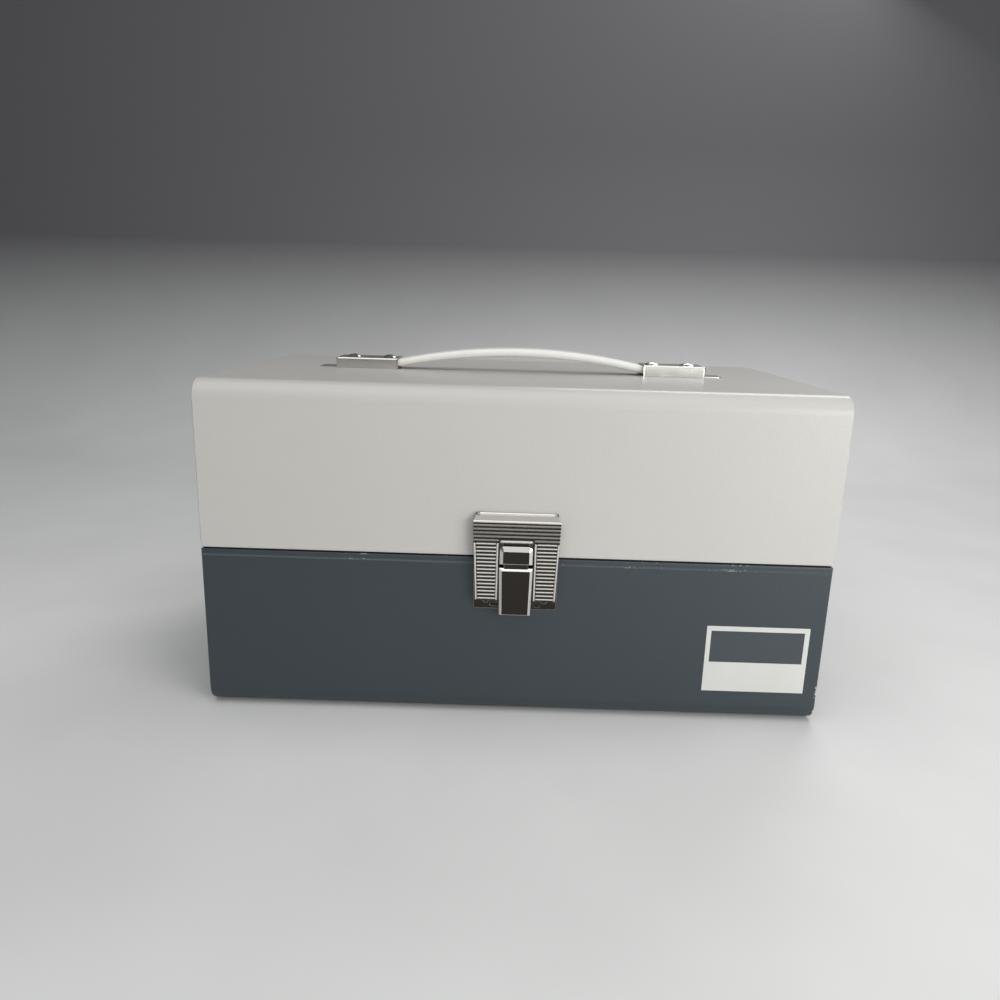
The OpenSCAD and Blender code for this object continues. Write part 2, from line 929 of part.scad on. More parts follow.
module tongue_form(inset) {
    intersection() {
        translate([0, front_y, seam_z - tongue_drop - eps])
            mirror([0, 1, 0])
                linear_extrude(tongue_drop)
                    bevel_plan(tongue_half, inset);
        latch_face(0, tongue_depth + eps)
            polygon([
                [inset - tongue_low_half, inset - tongue_drop],
                [tongue_low_half - inset, inset - tongue_drop],
                [tongue_half - inset, tongue_top - inset],
                [inset - tongue_half, tongue_top - inset]
            ]);
        latch_section(3 * tongue_half)
            polygon([
                [0, inset - tongue_drop],
                [tongue_depth - tongue_foot_edge - inset / 2, inset - tongue_drop],
                [tongue_depth - inset, inset / 2 - tongue_drop + tongue_edge],
                [tongue_depth - inset, tongue_top - tongue_edge - inset / 2],
                [tongue_depth - tongue_edge - inset / 2, tongue_top - inset],
                [0, tongue_top - inset]
            ]);
    }
}

// The tongue is a pressed shell, open at the back and cut away over the rocker's ears
module catch_tongue() {
    color(plated_color)
        difference() {
            tongue_form(0);
            tongue_form(skin_t);
            latch_face(0, leaf_in)
                translate([-ear_in - ear_t - ear_room, tongue_top - ear_cut])
                    square([2 * (ear_in + ear_t + ear_room), ear_cut + eps]);
        }
}

button_low = -3.1;
button_corner_r = 2.4;
// Edge round the button's face: at its foot, and at its sloping top
button_foot_edge = 0.9;
button_slope = 2.8;
button_slope_top = 0.7;
// Room beside the rocker where the button's foot is cut away over it
rocker_room = 0.2;

module button_form(inset) {
    low = button_low + inset;
    high = button_rise - inset;
    half = button_half - inset;
    intersection() {
        translate([0, front_y, seam_z + button_low - eps])
            mirror([0, 1, 0])
                linear_extrude(button_rise - button_low + 2 * eps)
                    bevel_plan(button_half, inset);
        latch_face(0, tongue_depth + eps)
            union() {
                translate([-half, low])
                    square([2 * half, high - low - button_corner_r]);
                translate([button_corner_r - half, high - button_corner_r - eps])
                    square([2 * (half - button_corner_r), button_corner_r + eps]);
                for (side = [-1, 1])
                    translate([side * (half - button_corner_r), high - button_corner_r])
                        circle(button_corner_r);
            }
        latch_section(3 * button_half)
            polygon([
                [0, low],
                [tongue_depth - button_foot_edge - inset / 2, low],
                [tongue_depth - inset, low + button_foot_edge - inset / 2],
                [tongue_depth - inset, high - button_slope],
                [tongue_depth - bevel_depth - inset / 2, high - button_slope_top],
                [cap_back, high],
                [0, high]
            ]);
    }
}

module catch_button() {
    color(plated_color)
        difference() {
            button_form(0);
            button_form(skin_t);
            latch_face(0, leaf_in)
                translate([-rocker_half - rocker_room, button_low - eps])
                    square([2 * (rocker_half + rocker_room), skin_t + 2 * eps]);
        }
}

// Handle

cap_t = 0.7;
cap_corner_r = 1.6;
cap_mouth = cap_span / 2;
cap_end = cap_mouth + cap_l;
// Distances of the rivets from the cap's mouth and from its outer end
cap_rivet_in = 7;
cap_rivet_out = 10.4;
cap_rivet_x = [cap_mouth + cap_rivet_in, cap_end - cap_rivet_out];
cap_rivet_head_r = 5;
cap_rivet_head_h = 1.6;
cap_rivet_tail_r = 3.4;
cap_rivet_tail_h = 1;
tab_r = 3;
tab_inset = 4;
// Lip round the cap's mouth: its length and how far it stands proud
cap_lip_l = 1.3;
cap_lip = 0.4;
backing_t = 1.2;
backing_r = 3;
backing_inset = 1;
cap_rivet_grip = cap_h + wall + backing_t;

// Section of a cap, drawn in by an inset
module cap_section(inset) {
    translate([0, cap_h - inset])
        mirror([0, 1])
            pan_section(cap_w - 2 * inset, cap_h - inset + (inset > 0 ? eps : 0),
                cap_corner_r - inset);
}

// A pressed channel, open at its mouth and below, with a flat tab beyond its outer end
module handle_cap(side) {
    color(plated_color)
        mirror([side < 0 ? 1 : 0, 0, 0])
            translate([0, 0, top_z])
                difference() {
                    union() {
                        translate([cap_mouth + cap_l / 2, 0, 0])
                            along_x(cap_l)
                                cap_section(0);
                        translate([cap_mouth + cap_lip_l / 2, 0, 0])
                            along_x(cap_lip_l)
                                cap_section(-cap_lip);
                        cap_tab();
                    }
                    translate([cap_mouth + cap_l / 2 - cap_t, 0, 0])
                        along_x(cap_l)
                            cap_section(cap_t);
                    for (x = cap_rivet_x)
                        translate([x, 0, 0])
                            cylinder(r = cap_rivet_r + punch_fit, h = cap_h + eps);
                }
}

module cap_tab() {
    tab_half = cap_w / 2 - tab_inset;
    translate([cap_end - cap_t, -tab_half, 0])
        cube([tab_l + cap_t - tab_r, 2 * tab_half, cap_t]);
    translate([cap_end - cap_t, tab_r - tab_half, 0])
        cube([tab_l + cap_t, 2 * (tab_half - tab_r), cap_t]);
    for (y = [-1, 1])
        translate([cap_end + tab_l - tab_r, y * (tab_half - tab_r), 0])
            cylinder(r = tab_r, h = cap_t);
}

module cap_rivets() {
    color(plated_color)
        for (side = [-1, 1], x = cap_rivet_x)
            translate([side * x, 0, top_z + cap_h])
                rivet(cap_rivet_r, cap_rivet_head_r, cap_rivet_head_h, cap_rivet_grip,
                    cap_rivet_tail_r, cap_rivet_tail_h);
}

module handle_backing_plates() {
    color(steel_color)
        for (side = [-1, 1])
            translate([side * (cap_mouth + cap_l / 2), 0, top_z - wall - backing_t])
                difference() {
                    rounded_block(cap_l, cap_w - 2 * backing_inset, backing_r, backing_t);
                    for (x = cap_rivet_x)
                        translate([side * (x - cap_mouth - cap_l / 2), 0, -eps])
                            cylinder(r = cap_rivet_r + punch_fit, h = backing_t + 2 * eps);
                }
}

// Strap: one arc through the middle of the sleeve, stiff in the middle and free to bend
// towards both caps

// Gap between the sleeve's end and the cap's mouth
mouth_gap = 0.6;
strap_mouth = cap_mouth + mouth_gap;
// Gap above the strap in the cap's mouth, which with its rise settles the arch's radius
mouth_room = 0.5;
strap_sag = strap_rise + mouth_room + strap_t / 2 + cap_t - cap_h;
strap_r = (strap_mouth * strap_mouth + strap_sag * strap_sag) / (2 * strap_sag);
mouth_angle = asin(strap_mouth / strap_r);
grip_angle = asin(grip_l / 2 / strap_r);
band_w = 12;
band_t = 0.8;
band_room = 0.2;
// The feet are a little thicker and narrower than the arch, which runs into them by this angle
band_lap = 0.1;
foot_extra = 0.1;
foot_w = band_w - 4 * foot_extra;

// Sweeps a section drawn about its own centre along the arch between two angles
module arch(from, to) {
    translate([0, 0, top_z + strap_rise - strap_r])
        rotate([90, 0, 0])
            rotate([0, 0, 90 - to])
                rotate_extrude(angle = to - from, $fn = 360)
                    translate([strap_r, 0])
                        children();
}

module sleeve_section() {
    difference() {
        union() {
            square([strap_t, strap_w - strap_t], center = true);
            for (side = [-1, 1])
                translate([0, side * (strap_w - strap_t) / 2])
                    circle(strap_t / 2);
        }
        square([band_t + 2 * band_room, band_w + 2 * band_room], center = true);
    }
}

module handle_grip() {
    color("whitesmoke")
        arch(-grip_angle, grip_angle)
            sleeve_section();
}

module strap_end(side) {
    color("whitesmoke")
        mirror([side < 0 ? 1 : 0, 0, 0])
            arch(grip_angle, mouth_angle)
                sleeve_section();
}

// The band leaves the sleeve at the arch's slope and levels out inside the cap
level_r = 40;
level_x = strap_r * sin(mouth_angle) + level_r * sin(mouth_angle);
level_z = strap_rise - strap_r * (1 - cos(mouth_angle)) - level_r * (1 - cos(mouth_angle));
band_end_gap = 2;
band_end = cap_end - band_end_gap;
band_slot_fit = 0.3;
// The slots start a little before the mouth's rivet and run this far past the outer one
band_slot_lead = 1;
band_slot_travel = 2;
band_slot_start = cap_rivet_x[0] - band_slot_lead;
band_slot_end = cap_rivet_x[1] + cap_rivet_r + band_slot_travel;

module handle_band() {
    color(steel_color)
        difference() {
            union() {
                arch(-mouth_angle - band_lap, mouth_angle + band_lap)
                    square([band_t, band_w], center = true);
                for (side = [0, 1])
                    mirror([side, 0, 0])
                        band_foot();
            }
            for (side = [0, 1])
                mirror([side, 0, 0])
                    translate([0, 0, top_z])
                        linear_extrude(cap_h)
                            slot(band_slot_start, band_slot_end, cap_rivet_r + band_slot_fit);
        }
}

// One bent strip: a bend that levels the band out, and the slotted flat beyond it
module band_foot() {
    strip_t = band_t + foot_extra;
    translate([level_x, foot_w / 2, top_z + level_z])
        rotate([90, 0, 0])
            linear_extrude(foot_w) {
                translate([0, level_r])
                    intersection() {
                        difference() {
                            circle(level_r + strip_t / 2, $fn = 180);
                            circle(level_r - strip_t / 2, $fn = 180);
                        }
                        polygon([
                            [0, 0],
                            [0, -2 * level_r],
                            [-2 * level_r * tan(mouth_angle), -2 * level_r]
                        ]);
                    }
                translate([0, -strip_t / 2])
                    square([band_end - level_x, strip_t]);
            }
}

// Holes through the wraps for every rivet that passes them

module rivet_holes_base() {
    translate([0, 0, -floor_z]) {
        plate_rivet_holes();
        hinge_rivet_holes(-hinge_rivet_drop);
    }
}

module rivet_holes_lid() {
    bracket_rivet_holes();
    hinge_rivet_holes(hinge_rivet_drop);
    for (side = [-1, 1], x = cap_rivet_x)
        translate([side * x, 0, top_z - 2 * wall])
            cylinder(r = cap_rivet_r + punch_fit, h = 3 * wall);
}

module hinge_rivet_holes(height) {
    for (side = [-1, 1], x = [-1, 0, 1])
        translate([side * hinge_x + x * hinge_rivet_x, rear_y, axis_z + height])
            rotate([90, 0, 0])
                cylinder(r = hinge_rivet_r + punch_fit, h = 3 * wall, center = true);
}

base_wrap();
base_end(-1);  // base_end_left
base_end(1);  // base_end_right
light_trap_frame();
seal_across(-1);  // seal_front
seal_across(1);  // seal_rear
seal_along(-1);  // seal_left
seal_along(1);  // seal_right
base_hinge_leaf(-1);  // base_hinge_leaf_left
base_hinge_leaf(1);  // base_hinge_leaf_right
hinge_pin(-1);  // hinge_pin_left
hinge_pin(1);  // hinge_pin_right
base_hinge_rivets();
stay_slot_studs();
catch_plate();
catch_plate_rivets();
rocker_pin();
catch_spring();
catch_rocker();
catch_button();
catch_tongue();
lid_wrap();
lid_end(-1);  // lid_end_left
lid_end(1);  // lid_end_right
lid_hinge_leaf(-1);  // lid_hinge_leaf_left
lid_hinge_leaf(1);  // lid_hinge_leaf_right
lid_hinge_rivets();
stay_pivot_studs();
hasp_bracket();
hasp_bracket_rivets();
hasp();
hasp_pin();
stay(-1);  // stay_left
stay(1);  // stay_right
handle_cap(-1);  // handle_cap_left
handle_cap(1);  // handle_cap_right
cap_rivets();
handle_backing_plates();
handle_grip();
strap_end(-1);  // strap_end_left
strap_end(1);  // strap_end_right
handle_band();
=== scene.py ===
import math

import bmesh
import bpy
from mathutils import Matrix, Vector, noise


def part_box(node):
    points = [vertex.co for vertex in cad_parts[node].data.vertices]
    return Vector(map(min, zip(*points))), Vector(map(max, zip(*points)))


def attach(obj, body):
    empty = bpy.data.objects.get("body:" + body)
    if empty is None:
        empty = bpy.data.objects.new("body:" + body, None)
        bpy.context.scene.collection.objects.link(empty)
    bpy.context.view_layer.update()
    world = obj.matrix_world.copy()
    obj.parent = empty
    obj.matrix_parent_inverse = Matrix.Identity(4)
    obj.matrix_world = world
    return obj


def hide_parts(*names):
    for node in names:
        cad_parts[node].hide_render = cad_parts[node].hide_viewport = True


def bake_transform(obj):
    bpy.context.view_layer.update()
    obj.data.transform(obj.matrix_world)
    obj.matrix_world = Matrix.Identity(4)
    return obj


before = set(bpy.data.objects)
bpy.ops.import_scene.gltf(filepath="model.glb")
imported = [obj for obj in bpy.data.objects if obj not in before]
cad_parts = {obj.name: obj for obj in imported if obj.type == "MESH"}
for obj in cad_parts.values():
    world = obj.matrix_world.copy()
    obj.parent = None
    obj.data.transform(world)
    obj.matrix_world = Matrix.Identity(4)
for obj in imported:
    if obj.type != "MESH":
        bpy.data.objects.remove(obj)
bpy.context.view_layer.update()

# Tabletop and backdrop: a pale table that sweeps up into a grey wall behind the case. The
# sweep is one folded strip whose fold is a long round bend.
mm = 0.001


def place_node(tree, kind, feeds=None, **settings):
    """A shader node with its settings, each input linked to a socket or set to a value."""
    node = tree.nodes.new(kind)
    for name, value in settings.items():
        setattr(node, name, value)
    for key, value in (feeds or {}).items():
        if isinstance(value, bpy.types.NodeSocket):
            tree.links.new(value, node.inputs[key])
        else:
            node.inputs[key].default_value = value
    return node


def new_finish(name):
    """A material with its Principled shader; returns the material, its tree and the shader."""
    finish = bpy.data.materials.new(name)
    finish.use_nodes = True
    tree = finish.node_tree
    return finish, tree, tree.nodes["Principled BSDF"]


def object_point(tree):
    return place_node(tree, "ShaderNodeTexCoord").outputs["Object"]


def blend_colors(tree, share, first, second):
    """Output of a color mix of two colors or sockets by a share."""
    mix = place_node(tree, "ShaderNodeMix", data_type="RGBA")
    for socket, value in ((mix.inputs[0], share), (mix.inputs[6], first), (mix.inputs[7], second)):
        if isinstance(value, bpy.types.NodeSocket):
            tree.links.new(value, socket)
        else:
            socket.default_value = value
    return mix.outputs[2]


def ramp_mask(tree, value, low, high, out_low=0.0, out_high=1.0):
    """A value taken from one range to another, held at its ends."""
    return place_node(tree, "ShaderNodeMapRange", {
        "Value": value, "From Min": low, "From Max": high, "To Min": out_low, "To Max": out_high,
    }).outputs["Result"]


def arithmetic(tree, operation, first, second=0.0):
    return place_node(tree, "ShaderNodeMath", {0: first, 1: second}, operation=operation).outputs[0]


def make_mesh(name, bm, finish, crease=35, trims=()):
    """An object from the mesh, shaded smooth up to that crease, with its flats kept flat.

    Faces with material index 1 and up take the trims in turn."""
    mesh = bpy.data.meshes.new(name)
    bm.to_mesh(mesh)
    bm.free()
    mesh.shade_smooth()
    mesh.set_sharp_from_angle(angle=math.radians(crease))
    mesh.materials.append(finish)
    for trim in trims:
        mesh.materials.append(trim)
    piece = bpy.data.objects.new(name, mesh)
    bpy.context.scene.collection.objects.link(piece)
    shading = piece.modifiers.new("flat_faces", "WEIGHTED_NORMAL")
    shading.keep_sharp = True
    return piece


def moved_verts(geometry):
    return [part for part in geometry if isinstance(part, bmesh.types.BMVert)]


def folded_strip(path, half_width, fold, segments):
    """A mesh strip along X through points in Y and Z, its inner corners bent round."""
    bm = bmesh.new()
    row = [bm.verts.new((-half_width, y, z)) for y, z in path]
    steps = [bm.edges.new(pair) for pair in zip(row, row[1:])]
    far = bmesh.ops.extrude_edge_only(bm, edges=steps)["geom"]
    bmesh.ops.translate(bm, verts=moved_verts(far), vec=(2 * half_width, 0, 0))
    folds = [edge for edge in bm.edges if len(edge.link_faces) == 2]
    bmesh.ops.bevel(bm, geom=folds, offset=fold, segments=segments, profile=0.5,
                    affect="EDGES", material=-1)
    bm.normal_update()
    return bm


stage_finish, tree, shader = new_finish("tabletop_paint")
height = place_node(tree, "ShaderNodeSeparateXYZ", {0: object_point(tree)}).outputs["Z"]
wall_share = ramp_mask(tree, height, 0.0, 0.35)
grain = place_node(tree, "ShaderNodeTexNoise", {"Vector": object_point(tree), "Scale": 9.0})
table_color = blend_colors(tree, ramp_mask(tree, grain.outputs["Fac"], 0.3, 0.7),
                           (0.78, 0.78, 0.77, 1), (0.82, 0.82, 0.81, 1))
tree.links.new(blend_colors(tree, wall_share, table_color, (0.13, 0.13, 0.135, 1)),
               shader.inputs["Base Color"])
shader.inputs["Roughness"].default_value = 0.7

table_path = [(-4.0, 0), (1.15, 0), (1.15, 1.9)]
tabletop = make_mesh("tabletop", folded_strip(table_path, 3.0, 0.55, 24), stage_finish)

# Light: a window in front and to the right gives the photograph's fall-off from right to
# left. Cards in front light the strap caps and the bends, and weak soft lights fill from
# above, from the left and from behind.


def soft_light(name, place, aim, width, height, power, color=(1, 1, 1)):
    lamp = bpy.data.lights.new(name, "AREA")
    lamp.shape = "RECTANGLE"
    lamp.size = width
    lamp.size_y = height
    lamp.energy = power
    lamp.color = color
    light = bpy.data.objects.new(name, lamp)
    light.location = place
    light.rotation_euler = (Vector(aim) - Vector(place)).to_track_quat("-Z", "Y").to_euler()
    light.visible_camera = False
    bpy.context.scene.collection.objects.link(light)


soft_light("window", (0.80, -0.86, 0.34), (0.06, 0.0, 0.08), 0.7, 0.6, 7.0, (1.0, 0.99, 0.975))
soft_light("high_card", (0.1, -1.45, 1.0), (0.0, 0.0, 0.15), 1.3, 0.8, 2.2)
soft_light("ceiling", (0.0, -0.35, 1.30), (0.0, 0.0, 0.1), 1.5, 1.3, 8.6)
soft_light("front_card", (0.48, -2.2, 0.25), (0.0, -0.1, 0.15), 1.5, 0.8, 4.4)
soft_light("left_fill", (-1.25, -0.35, 0.45), (0.0, 0.0, 0.12), 0.5, 0.7, 0.5)
soft_light("rear_fill", (0.5, 1.0, 1.1), (0.0, 0.0, 0.12), 0.9, 0.6, 7.5)

world = bpy.data.worlds.new("room")
world.use_nodes = True
world.node_tree.nodes["Background"].inputs["Color"].default_value = (0.9, 0.95, 1.0, 1)
world.node_tree.nodes["Background"].inputs["Strength"].default_value = 0.14
bpy.context.scene.world = world

# Camera: the photograph's own viewpoint, solved on the case's straight edges. It stands low
# in front of the latch, looks a little down and is rolled by a degree and a half.
camera_data = bpy.data.cameras.new("camera")
camera_data.sensor_width = 36.0
camera_data.lens = 28.44
camera_data.clip_start = 0.01
camera = bpy.data.objects.new("camera", camera_data)
camera_place = Vector((-0.00607, -0.54512, 0.24447))
camera_yaw, camera_pitch, camera_roll = 0.00962, 0.2465, 0.02826
camera.matrix_world = (
    Matrix.Translation(camera_place)
    @ Matrix.Rotation(camera_yaw, 4, "Z")
    @ Matrix.Rotation(math.pi / 2 - camera_pitch, 4, "X")
    @ Matrix.Rotation(camera_roll, 4, "Z")
)
bpy.context.scene.collection.objects.link(camera)
bpy.context.scene.camera = camera
bpy.context.scene.view_settings.view_transform = "Standard"

# Base wrap: front, floor and back of the base, one steel sheet bent twice, with a set-back
# rim under the seam and four feet pressed out of its floor. It is in slate-blue baked enamel
# with a fine orange peel, chipped where the right side edge was knocked.
case_low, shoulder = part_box("base_wrap")
case_front = case_low.y
case_rear = shoulder.y
case_half = shoulder.x
seam_z = shoulder.z
foot_h = 0.8 * mm
sheet = 1.0 * mm
bend_r = 10.5 * mm
edge_r = 0.95 * mm


def new_effect(name, inputs, outputs):
    """A node group for an effect; returns its tree, its input sockets and its output sockets."""
    tree = bpy.data.node_groups.new(name, "ShaderNodeTree")
    for label, value in inputs.items():
        socket = tree.interface.new_socket(label, in_out="INPUT", socket_type="NodeSocketFloat")
        socket.default_value = value
    for label, kind in outputs.items():
        tree.interface.new_socket(label, in_out="OUTPUT", socket_type=kind)
    return tree, tree.nodes.new("NodeGroupInput").outputs, tree.nodes.new("NodeGroupOutput").inputs


def use_effect(tree, effect, **values):
    """The effect's group placed in a material, with its own values; returns its outputs."""
    return place_node(tree, "ShaderNodeGroup", values, node_tree=effect).outputs


# Orange peel and the sheet's own slight waviness, as one normal, with a broad mottle mask
peel_effect, given, made = new_effect(
    "orange_peel", {"Size": 0.0016, "Peel": 0.1, "Wave": 0.1},
    {"Normal": "NodeSocketVector", "Mottle": "NodeSocketFloat"})
tree = peel_effect
point = object_point(tree)
peel = place_node(tree, "ShaderNodeTexNoise", {
    "Vector": point, "Scale": arithmetic(tree, "DIVIDE", 1.0, given["Size"]), "Detail": 2.0})
wave = place_node(tree, "ShaderNodeTexNoise", {"Vector": point, "Scale": 14.0, "Detail": 1.0})
wavy = place_node(tree, "ShaderNodeBump", {
    "Height": wave.outputs["Fac"], "Strength": given["Wave"], "Distance": 0.002})
peeled = place_node(tree, "ShaderNodeBump", {
    "Height": peel.outputs["Fac"], "Strength": given["Peel"], "Distance": 0.0004,
    "Normal": wavy.outputs["Normal"]})
tree.links.new(peeled.outputs["Normal"], made["Normal"])
mottle = place_node(tree, "ShaderNodeTexNoise", {"Vector": point, "Scale": 5.0, "Detail": 4.0})
tree.links.new(ramp_mask(tree, mottle.outputs["Fac"], 0.3, 0.7), made["Mottle"])

# Wear where a surface turns a corner: the corner found from the rounded normal, broken up
wear_effect, given, made = new_effect(
    "corner_wear", {"Width": 0.0008, "Spread": 0.5, "Grain": 900.0},
    {"Mask": "NodeSocketFloat", "Corner": "NodeSocketFloat"})
tree = wear_effect
rounded = place_node(tree, "ShaderNodeBevel", {"Radius": given["Width"]}, samples=6)
flat = place_node(tree, "ShaderNodeNewGeometry")
facing = place_node(tree, "ShaderNodeVectorMath", {
    0: rounded.outputs["Normal"], 1: flat.outputs["Normal"]}, operation="DOT_PRODUCT")
corner = ramp_mask(tree, facing.outputs["Value"], 0.995, 0.93)
broken = place_node(tree, "ShaderNodeTexNoise", {
    "Vector": object_point(tree), "Scale": given["Grain"], "Detail": 3.0})
patch = place_node(tree, "ShaderNodeTexNoise", {"Vector": object_point(tree), "Scale": 28.0})
strength = arithmetic(tree, "MULTIPLY", broken.outputs["Fac"], patch.outputs["Fac"])
chipped = arithmetic(tree, "GREATER_THAN", arithmetic(tree, "ADD", strength, given["Spread"]), 1.0)
tree.links.new(arithmetic(tree, "MULTIPLY", corner, chipped), made["Mask"])
tree.links.new(corner, made["Corner"])


nowhere = (9, 9, 9)
knock_reach = 13 * mm


def enamel(name, color, mottle_color, rub_color, chip_color, gloss, chips, knock=nowhere):
    """Baked enamel: a mottled colour under orange peel, rubbed and a little chipped at corners,
    and chipped more about the place of one knock."""
    finish, tree, shader = new_finish(name)
    skin = use_effect(tree, peel_effect, Size=0.0014, Peel=0.22, Wave=0.12)
    from_knock = place_node(tree, "ShaderNodeVectorMath", {0: object_point(tree), 1: knock},
                            operation="DISTANCE")
    near = ramp_mask(tree, from_knock.outputs["Value"], knock_reach, knock_reach - 4 * mm)
    across = place_node(tree, "ShaderNodeSeparateXYZ", {0: object_point(tree)})
    at_side = ramp_mask(tree, across.outputs["X"], case_half - 1.5 * mm, case_half - 1.1 * mm)
    flakes = place_node(tree, "ShaderNodeTexNoise", {
        "Vector": object_point(tree), "Scale": 520.0, "Detail": 2.0})
    flaked = arithmetic(tree, "GREATER_THAN", flakes.outputs["Fac"], 0.6)
    knocked = arithmetic(tree, "MULTIPLY", arithmetic(tree, "MULTIPLY", near, at_side), flaked)
    wear = use_effect(tree, wear_effect, Width=0.0007, Spread=chips, Grain=700.0)
    chipped = arithmetic(tree, "MAXIMUM", wear["Mask"], knocked)
    painted = blend_colors(tree, skin["Mottle"], color, mottle_color)
    rubbed = blend_colors(tree, wear["Corner"], painted, rub_color)
    tree.links.new(blend_colors(tree, chipped, rubbed, chip_color), shader.inputs["Base Color"])
    tree.links.new(ramp_mask(tree, skin["Mottle"], 0, 1, gloss, gloss + 0.05), shader.inputs["Roughness"])
    tree.links.new(skin["Normal"], shader.inputs["Normal"])
    return finish


base_enamel = enamel("base_enamel", (0.031, 0.043, 0.050, 1), (0.035, 0.048, 0.056, 1),
                     (0.10, 0.12, 0.13, 1), (0.55, 0.56, 0.56, 1), gloss=0.36, chips=0.62,
                     knock=(0.184, -0.108, 0.014))


def round_edges(bm, edges, radius, segments):
    bmesh.ops.bevel(bm, geom=edges, offset=radius, segments=segments, profile=0.5,
                    affect="EDGES", material=-1)


def face_outwards(bm, direction):
    """Turns an open sheet round if the face furthest along the direction faces the other way."""
    bmesh.ops.recalc_face_normals(bm, faces=bm.faces[:])
    bm.normal_update()
    direction = Vector(direction)
    outer = max(bm.faces, key=lambda face: face.calc_center_median().dot(direction))
    if outer.normal.dot(direction) < 0:
        bmesh.ops.reverse_faces(bm, faces=bm.faces[:])
    bm.normal_update()


def thicken(bm, thickness):
    """Gives the sheet its thickness inwards; returns the outer face's rim edges."""
    outer = set(bm.faces)
    bmesh.ops.solidify(bm, geom=bm.faces[:], thickness=thickness)
    bm.normal_update()
    return [edge for edge in bm.edges
            if sum(face in outer for face in edge.link_faces) == 1 and len(edge.link_faces) == 2]


def bent_wrap(open_z, closed_z):
    """A case half's wrap: down the front, along the closed side and up the back."""
    path = [(case_front, open_z), (case_front, closed_z), (case_rear, closed_z), (case_rear, open_z)]
    bm = folded_strip(path, case_half, bend_r, 16)
    face_outwards(bm, (0, -1, 0))
    rim = thicken(bm, sheet)
    round_edges(bm, rim, edge_r, 4)
    return bm


bm = bent_wrap(seam_z, foot_h)
rim_drop = 3.7 * mm
rim_step = 0.5 * mm
rim_set_back = 0.55 * mm
for level in (seam_z - rim_drop, seam_z - rim_drop + rim_step):
    bmesh.ops.bisect_plane(bm, geom=bm.verts[:] + bm.edges[:] + bm.faces[:], dist=0.001 * mm,
                           plane_co=(0, 0, level), plane_no=(0, 0, 1))
for vert in bm.verts:
    if vert.co.z > seam_z - rim_drop + rim_step / 2 and vert.co.y < case_front + sheet / 2:
        vert.co.y += rim_set_back
foot_inset = 24.0 * mm
foot_sole_r, foot_root_r = 7.2 * mm, 8.4 * mm
foot_len = 1.2 * foot_h
for x in (-1, 1):
    for y in (-1, 1):
        foot_place = Vector((x * (case_half - foot_inset), y * (case_rear - foot_inset), foot_len / 2))
        bmesh.ops.create_cone(bm, cap_ends=True, segments=40, radius1=foot_sole_r,
                              radius2=foot_root_r, depth=foot_len,
                              matrix=Matrix.Translation(foot_place))
base_shell = make_mesh("base_shell", bm, base_enamel)
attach(base_shell, "base")
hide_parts("base_wrap")

# Base end panels: flat pans spot-welded inside the wrap's mouths. Each has a flange turned
# inwards all round but at the shoulder, where it leaves room for the light trap.
flange_w = 11.0 * mm
flange_fold_r = 0.35 * mm
joint_gap = 0.03 * mm


def end_pan(side, open_z, stop_z, closed_z):
    """A pan's outer face with two round corners, its flange drawn in from it."""
    bm = bmesh.new()
    x = side * case_half
    front, rear = case_front + sheet + joint_gap, case_rear - sheet - joint_gap
    closed = closed_z + math.copysign(sheet + joint_gap, open_z - closed_z)
    outline = [(front, open_z), (front, stop_z), (front, closed),
               (rear, closed), (rear, stop_z), (rear, open_z)]
    corners = [bm.verts.new((x, y, z)) for y, z in outline]
    bm.faces.new(corners)
    bmesh.ops.bevel(bm, geom=[corners[2], corners[3]], offset=bend_r - sheet, segments=12,
                    profile=0.5, affect="VERTICES", material=-1)
    reach = abs(stop_z - closed_z) + 0.1 * mm
    flanged = [edge for edge in bm.edges
               if all(abs(vert.co.z - closed_z) < reach for vert in edge.verts)]
    drawn = bmesh.ops.extrude_edge_only(bm, edges=flanged)["geom"]
    bmesh.ops.translate(bm, verts=moved_verts(drawn), vec=(-side * flange_w, 0, 0))
    face_outwards(bm, (side, 0, 0))
    thicken(bm, sheet)
    turned = [edge for edge in bm.edges if len(edge.link_faces) == 2
              and all(abs(vert.co.x - x) < joint_gap for vert in edge.verts)
              and edge.calc_face_angle(0) > math.radians(60)]
    round_edges(bm, turned, flange_fold_r, 3)
    return bm


def add_end_pans(half, open_z, stop_z, closed_z, finish):
    for side, word in ((-1, "left"), (1, "right")):
        pan = make_mesh(f"{half}_end_pan_{word}", end_pan(side, open_z, stop_z, closed_z), finish)
        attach(pan, half)
        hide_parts(f"{half}_end_{word}")


trap_skirt = 10.5 * mm
add_end_pans("base", seam_z, seam_z - trap_skirt, foot_h, base_enamel)

# Light trap: the joggled lip round the base's mouth, in matt black paint, with four felt
# strips glued round its outside that close the gap to the lid.


def paint_node(finish, *names):
    """Gives the finish to pieces whose CAD shape stays."""
    for name in names:
        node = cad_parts[name]
        node.data.materials.clear()
        node.data.materials.append(finish)


trap_black, tree, shader = new_finish("trap_black")
skin = use_effect(tree, peel_effect, Size=0.0007, Peel=0.35, Wave=0.0)
tree.links.new(blend_colors(tree, skin["Mottle"], (0.017, 0.017, 0.018, 1), (0.024, 0.024, 0.025, 1)),
               shader.inputs["Base Color"])
tree.links.new(skin["Normal"], shader.inputs["Normal"])
shader.inputs["Roughness"].default_value = 0.62
paint_node(trap_black, "light_trap_frame")

